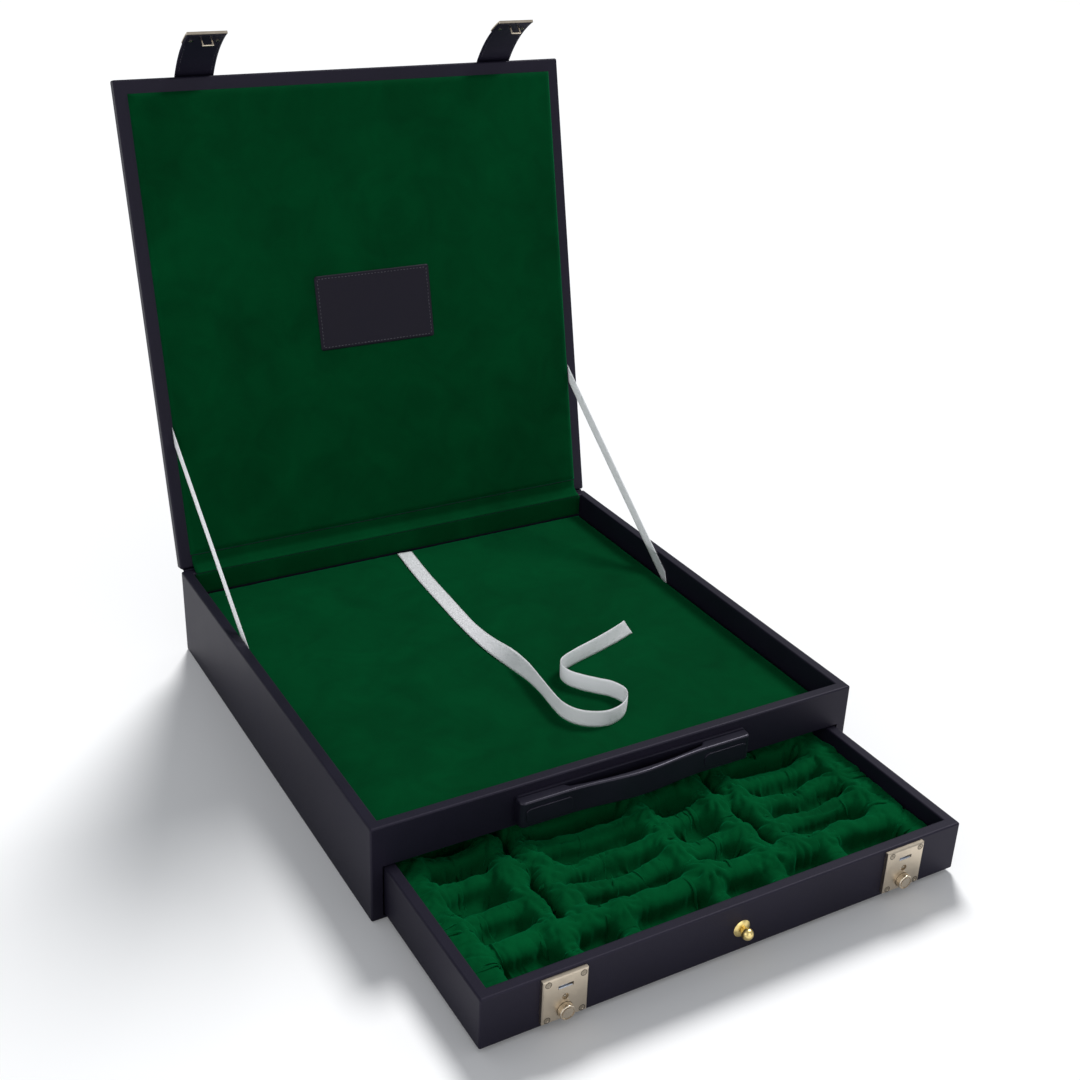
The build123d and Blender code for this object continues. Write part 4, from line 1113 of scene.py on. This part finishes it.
class Drape:
    """Velvet with slack, let down over the padded partitions and held at the drawer's walls."""

    low = np.array((-235.9, -426.9, 9.0))
    high = np.array((235.9, -197.7, 45.3))
    cell = 1.5
    floor = 15.5
    tuck = 30.0
    friction = 0.8
    damping = 0.88
    weight = 0.12

    def __init__(self, step, slack, seed):
        counts = ((self.high - self.low)[:2] / step).astype(int) + 1
        sides = [np.linspace(self.low[k], self.high[k], counts[k]) for k in (0, 1)]
        x, y = np.meshgrid(*sides, indexing="ij")
        field_box = ((-240, 241.5), (-431, -192), (6, 52))
        places = [np.arange(least, most, self.cell) for least, most in field_box]
        self.origin = np.array([side[0] for side in places], np.float32)
        wide = np.meshgrid(places[0], places[1], indexing="ij")
        self.field = stuffing(*wide, places[2], self.floor, seed)
        slope = np.stack(np.gradient(self.field, self.cell), -1)
        self.slope = slope / np.maximum(np.linalg.norm(slope, axis=-1, keepdims=True), 1e-6)
        top = np.clip(top_of(self.field, places[2], 0.6), self.floor, 46)
        z = sampled(top, (x - self.origin[0]) / self.cell, (y - self.origin[1]) / self.cell)
        for _ in range(3):
            z = eased(z)
        self.points = np.stack([x, y, z], -1).astype(np.float32)
        self.threads = self.woven(x, y, slack, seed)
        bumps = soft_noise(x / 7, y / 11, seed + 41) + soft_noise(x / 12, y / 6, seed + 42)
        bumps += 0.9 * soft_noise((x + y) / 9, (x - y) / 30, seed + 43)
        lift = 0.4 + 0.9 * bumps
        self.points = (self.points + normals_of(self.points) * lift[..., None]).astype(np.float32)

    def woven(self, x, y, slack, seed):
        """Pairs of points with the length between them, how much that grows and how hard it pulls."""
        loose = slack * (1 + 0.6 * soft_noise(x / 31, y / 27, seed + 31))
        for jx, jy in junctions():
            loose = loose + 0.14 * np.exp(-((x - jx) ** 2 + (y - jy) ** 2) / 13.0**2)
        rolls = np.exp(-(((np.abs(x) - 224) / 12) ** 2))
        ends = np.exp(-(((y + 424) / 7) ** 2)) + np.exp(-(((y + 200) / 8) ** 2))
        loose_x, loose_y = loose + 0.12 * ends, loose + 0.2 * rolls
        part = np.s_
        pairs = [
            (part[1:, :], part[:-1, :], loose_x, loose_x, 0.48),
            (part[:, 1:], part[:, :-1], loose_y, loose_y, 0.48),
            (part[1:, 1:], part[:-1, :-1], loose_x, loose_y, 0.12),
            (part[1:, :-1], part[:-1, 1:], loose_x, loose_y, 0.12),
            (part[2:, :], part[:-2, :], loose_x, loose_x, 0.05),
            (part[:, 2:], part[:, :-2], loose_y, loose_y, 0.05),
            (part[3:, :], part[:-3, :], loose_x, loose_x, 0.02),
            (part[:, 3:], part[:, :-3], loose_y, loose_y, 0.02),
        ]
        threads = []
        for a, b, first, second, pull in pairs:
            length = np.linalg.norm(self.points[a] - self.points[b], axis=-1)
            grows = (length * ((first[a] + second[b]) / 2)).astype(np.float32)
            threads.append((a, b, length[..., None], grows[..., None], pull / 2))
        return threads

    def fall(self, steps):
        """Lets the cloth fall while its slack grows."""
        before = self.points.copy()
        for number in range(steps):
            grown = min(1.0, (number + 1) / (steps * 0.6))
            now = self.points + (self.points - before) * self.damping
            before = self.points.copy()
            now[..., 2] -= self.weight
            for a, b, length, grows, pull in self.threads:
                apart = now[a] - now[b]
                reach = np.sqrt((apart * apart).sum(-1, keepdims=True))
                shift = apart * ((reach - length - grows * grown) / np.maximum(reach, 1e-4) * pull)
                now[a] -= shift
                now[b] += shift
            self.points = self.held(self.pushed(now, before))
        return lowered_blades(self.points.astype(float))

    def pushed(self, now, before):
        """Moves points out of the stuffing, and slows the ones that touch it."""
        at = np.rint((now - self.origin) / self.cell).astype(int)
        at = np.clip(at, 0, np.array(self.field.shape) - 1)
        i, j, k = at[..., 0], at[..., 1], at[..., 2]
        slope = self.slope[i, j, k]
        apart = self.field[i, j, k] + ((now - self.origin - at * np.float32(self.cell)) * slope).sum(-1)
        now = now + slope * np.clip(0.5 - apart, 0, 3.0)[..., None]
        return np.where((apart < 0.9)[..., None], before + (now - before) * self.friction, now)

    def held(self, now):
        """Keeps the cloth in the drawer, with its edges tucked down along the walls."""
        now = np.clip(now, self.low, self.high).astype(np.float32)
        now[0, :, 0], now[-1, :, 0] = self.low[0], self.high[0]
        now[:, 0, 1], now[:, -1, 1] = self.low[1], self.high[1]
        for edge in (now[0], now[-1], now[:, 0], now[:, -1]):
            edge[:, 2] = self.tuck
        return now


def gathers(points, depth, star_depth, seed):
    """How far sharp folds lift the velvet: across the partitions, and like stars where they meet."""
    x, y = points[..., 0], points[..., 1]
    wx, wy = wander(x, y, seed)
    total, folds = np.full(x.shape, 0.15), np.zeros(x.shape)
    for number, line in enumerate(partitions()):
        along, aside, length = on_line(line, wx, wy)
        half = line[2]
        past = np.maximum(np.maximum(-along, along - length), 0)
        near = np.exp(-((np.hypot(aside, past) / (half * 1.25)) ** 2))
        bunched = 0.45 + 0.75 * np.exp(-((np.minimum(along, length - along) / 20) ** 2))
        slant = 0.9 * soft_noise(along / 24, number * 1.7 + 0 * along, seed + 6)
        one_way, other_way = along + slant * aside, along - slant * aside
        broad = soft_noise(one_way / 8.5 + 13.0 * number, aside / 34 + number * 5.1, seed + 7)
        fine = soft_noise(other_way / 4.4 + 40 + 7.0 * number, aside / 22 + number * 2.3, seed + 8)
        crease = 1.1 * np.sqrt(np.abs(broad) + 0.004) + 0.5 * np.sqrt(np.abs(fine) + 0.004) - 0.9
        folds += near * (bunched if number > 1 else 1.15) * crease
        total += near
    lift = depth * folds / total
    for number, (jx, jy) in enumerate(junctions()):
        apart = np.hypot(wx - jx, wy - jy)
        turn = np.arctan2(wy - jy, wx - jx) + 0.5 * soft_noise(x / 13, y / 13, seed + 20 + number)
        count = 5 + (number * 5 + seed) % 4
        star = np.abs(np.sin(count * turn / 2 + number * 1.3)) ** 0.6 - 0.65
        lift += star_depth * star * (apart / 9) * np.exp(0.5 - (apart / 13) ** 2)
        lift += 1.2 * np.exp(-((apart / 6) ** 2))
    pulled = np.abs(soft_noise((x + 0.7 * y) / 9, (x - y) / 40, seed + 9)) ** 0.6
    pulled += np.abs(soft_noise((x - 0.8 * y) / 8, (x + y) / 36, seed + 11)) ** 0.6
    return lift + 0.7 * (pulled - 1.0)


class CHESSBOX_OT_insert(bpy.types.Operator):
    """Drapes the velvet over the drawer's padded partitions"""

    bl_idname = "chess_box.insert"
    bl_label = "Velvet insert"

    def execute(self, context):
        s = sizes()
        seed = 50 + s.seed
        step, steps = ((s.insert_step / MM, 260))
        points = doubled(Drape(step, s.slack, seed).fall(steps))
        lift = gathers(points, s.gathers / MM, s.stars / MM, seed)
        points = eased(eased(points + normals_of(eased(eased(points))) * lift[..., None]))
        inside = np.stack([np.clip(points[..., k], Drape.low[k], Drape.high[k]) for k in (0, 1)])
        points[..., 0], points[..., 1] = inside
        crown, room, lowest, board_top = 43.0, 2.3, 12.0, 8.2
        over = np.maximum(points[..., 2] - crown, 0)
        pressed = crown + room * np.tanh(over / room)
        points[..., 2] = np.where(over > 0, pressed, np.maximum(points[..., 2], lowest))
        rows, columns = points.shape[:2]
        rim = grid_rim(rows, columns)
        points = points.reshape(-1, 3)
        under = points[rim].copy()
        under[:, 2] = board_top
        base, count = len(points), len(rim)
        faces = grid_faces(rows, columns)
        for k in range(count):
            a, b = rim[k], rim[(k + 1) % count]
            faces.append((b, a, base + k, base + (k + 1) % count))
        faces.append(tuple(base + k for k in range(count)))
        points = np.vstack([points, under])
        # The insert takes the velvet painted brighter, as painted light against the shade of the pockets.
        piece = new_piece("velvet_insert", points, faces, finish_of("chess_velvet_painted_brighter"))
        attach(piece, "drawer")
        ridges = ("insert_front_ridges", "insert_long_ridges", "insert_cross_ridges")
        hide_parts("insert_pad", "insert_border", *ridges)
        return {"FINISHED"}


def placed(right, up, back, place):
    """The matrix of something that looks away from its back, at a place."""
    rows = [[right[k], up[k], back[k], place[k]] for k in range(3)]
    return Matrix(rows + [[0, 0, 0, 1]])


class CHESSBOX_OT_stage(bpy.types.Operator):
    """Sets up the floor, the studio light and the camera"""

    bl_idname = "chess_box.stage"
    bl_label = "Stage"

    def execute(self, context):
        scene = bpy.context.scene
        scene.view_settings.view_transform = "Standard"
        self.floor()
        self.world(scene)
        self.sun("key_light", (0.62, 0.10, 0.78), 2.0, 0.3, "EXCLUDE")
        self.sun("floor_light", (0.34, 0.62, 0.70), 3.1, 0.28, "INCLUDE")
        self.lamp("left_fill", (-1.9, -0.9, 1.1), (0.0, 0.0, 0.15), 1.6, 8.0)
        self.lamp("front_fill", (0.2, -2.3, 0.9), (0.0, 0.1, 0.25), 1.5, 9.0)
        self.camera(scene)
        return {"FINISHED"}

    def floor(self):
        """A wide floor, and a collection that holds it alone."""
        half, level = 6000.0, -0.05
        points = [(x, y, level) for x, y in ((-half, -half), (half, -half), (half, half), (-half, half))]
        white = backdrop_white("studio_white", colours().floor, 0.08)
        floor = new_piece("studio_floor", points, [(0, 1, 2, 3)], white)
        self.floor_only = bpy.data.collections.new("studio_floor")
        self.floor_only.objects.link(floor)

    def world(self, scene):
        """A pale sky for the light, and plain white where the camera looks past the floor."""
        world = bpy.data.worlds.new("studio")
        scene.world = world
        world.use_nodes = True
        tree = world.node_tree
        background = tree.nodes["Background"]
        seen = tree.nodes.new("ShaderNodeLightPath")
        direct = tree.nodes.new("ShaderNodeBackground")
        direct.inputs["Color"].default_value = (1, 1, 1, 1)
        direct.inputs["Strength"].default_value = 1.0
        background.inputs["Color"].default_value = (0.92, 0.95, 1.0, 1)
        background.inputs["Strength"].default_value = 0.42
        both = tree.nodes.new("ShaderNodeMixShader")
        tree.links.new(seen.outputs["Is Camera Ray"], both.inputs[0])
        tree.links.new(background.outputs[0], both.inputs[1])
        tree.links.new(direct.outputs[0], both.inputs[2])
        tree.links.new(both.outputs[0], tree.nodes["World Output"].inputs["Surface"])

    def sun(self, name, back, power, spread, floor):
        """A soft sun that either leaves the floor out or lights the floor alone."""
        light = bpy.data.lights.new(name, "SUN")
        light.energy = power
        light.angle = spread
        self.only(self.aim(light, back, np.array(back) / np.linalg.norm(back)), floor)

    def only(self, lamp, floor):
        """Makes a light take in the floor alone, or everything but the floor."""
        receivers = self.floor_only.copy()
        lamp.light_linking.receiver_collection = receivers
        receivers.collection_objects[0].light_linking.link_state = floor

    def lamp(self, name, place, target, size, power):
        """A square lamp that leaves the floor out."""
        light = bpy.data.lights.new(name, "AREA")
        light.shape = "SQUARE"
        light.size = size
        light.energy = power
        way = np.array(target) - np.array(place)
        self.only(self.aim(light, place, -way / np.linalg.norm(way)), "EXCLUDE")

    def aim(self, light, place, back):
        """Puts a light in place with its back turned the way given."""
        lamp = bpy.data.objects.new(light.name, light)
        bpy.context.scene.collection.objects.link(lamp)
        right = np.cross((0, 0, 1), back)
        right /= np.linalg.norm(right)
        up = np.cross(back, right)
        lamp.matrix_world = placed(right, up, back, place)
        return lamp

    def camera(self, scene):
        """The photograph's view."""
        data = bpy.data.cameras.new("photo_view")
        data.sensor_width = 36.0
        data.lens = 49.85
        data.shift_x = -0.0033
        data.shift_y = 0.0024
        data.clip_end = 50.0
        camera = bpy.data.objects.new("photo_view", data)
        scene.collection.objects.link(camera)
        right = (0.8698, -0.4920, 0.0370)
        up = (0.1903, 0.4037, 0.8949)
        back = (-0.4553, -0.7713, 0.4448)
        camera.matrix_world = placed(right, up, back, (-0.6590, -1.2028, 0.8796))
        scene.camera = camera


class CHESSBOX_PT_panel(bpy.types.Panel):
    """The chess box's pieces, sizes and colours"""

    bl_idname = "CHESSBOX_PT_panel"
    bl_label = "Chess Box"
    bl_space_type = "VIEW_3D"
    bl_region_type = "UI"
    bl_category = "Chess Box"

    def draw(self, context):
        for piece in PIECES:
            self.layout.operator(piece.bl_idname)
        for group in (context.scene.chess_box_sizes, context.scene.chess_box_colours):
            for name in group.__annotations__:
                self.layout.prop(group, name)


PIECES = (
    CHESSBOX_OT_stage,
    CHESSBOX_OT_boards,
    CHESSBOX_OT_metalwork,
    CHESSBOX_OT_key_pins,
    CHESSBOX_OT_handle,
    CHESSBOX_OT_tray,
    CHESSBOX_OT_lid_lining,
    CHESSBOX_OT_patch,
    CHESSBOX_OT_hinge_cloths,
    CHESSBOX_OT_stays,
    CHESSBOX_OT_pull_ribbon,
    CHESSBOX_OT_straps,
    CHESSBOX_OT_insert,
)
CLASSES = (ChessBoxColours, ChessBoxSizes) + PIECES + (CHESSBOX_PT_panel,)


def register():
    for cls in CLASSES:
        bpy.utils.register_class(cls)
    bpy.types.Scene.chess_box_colours = PointerProperty(type=ChessBoxColours)
    bpy.types.Scene.chess_box_sizes = PointerProperty(type=ChessBoxSizes)


def unregister():
    del bpy.types.Scene.chess_box_sizes
    del bpy.types.Scene.chess_box_colours
    for cls in reversed(CLASSES):
        bpy.utils.unregister_class(cls)


def main():
    register()
    for piece in PIECES:
        group, name = piece.bl_idname.split(".")
        getattr(getattr(bpy.ops, group), name)()


if __name__ == "__main__":
    main()
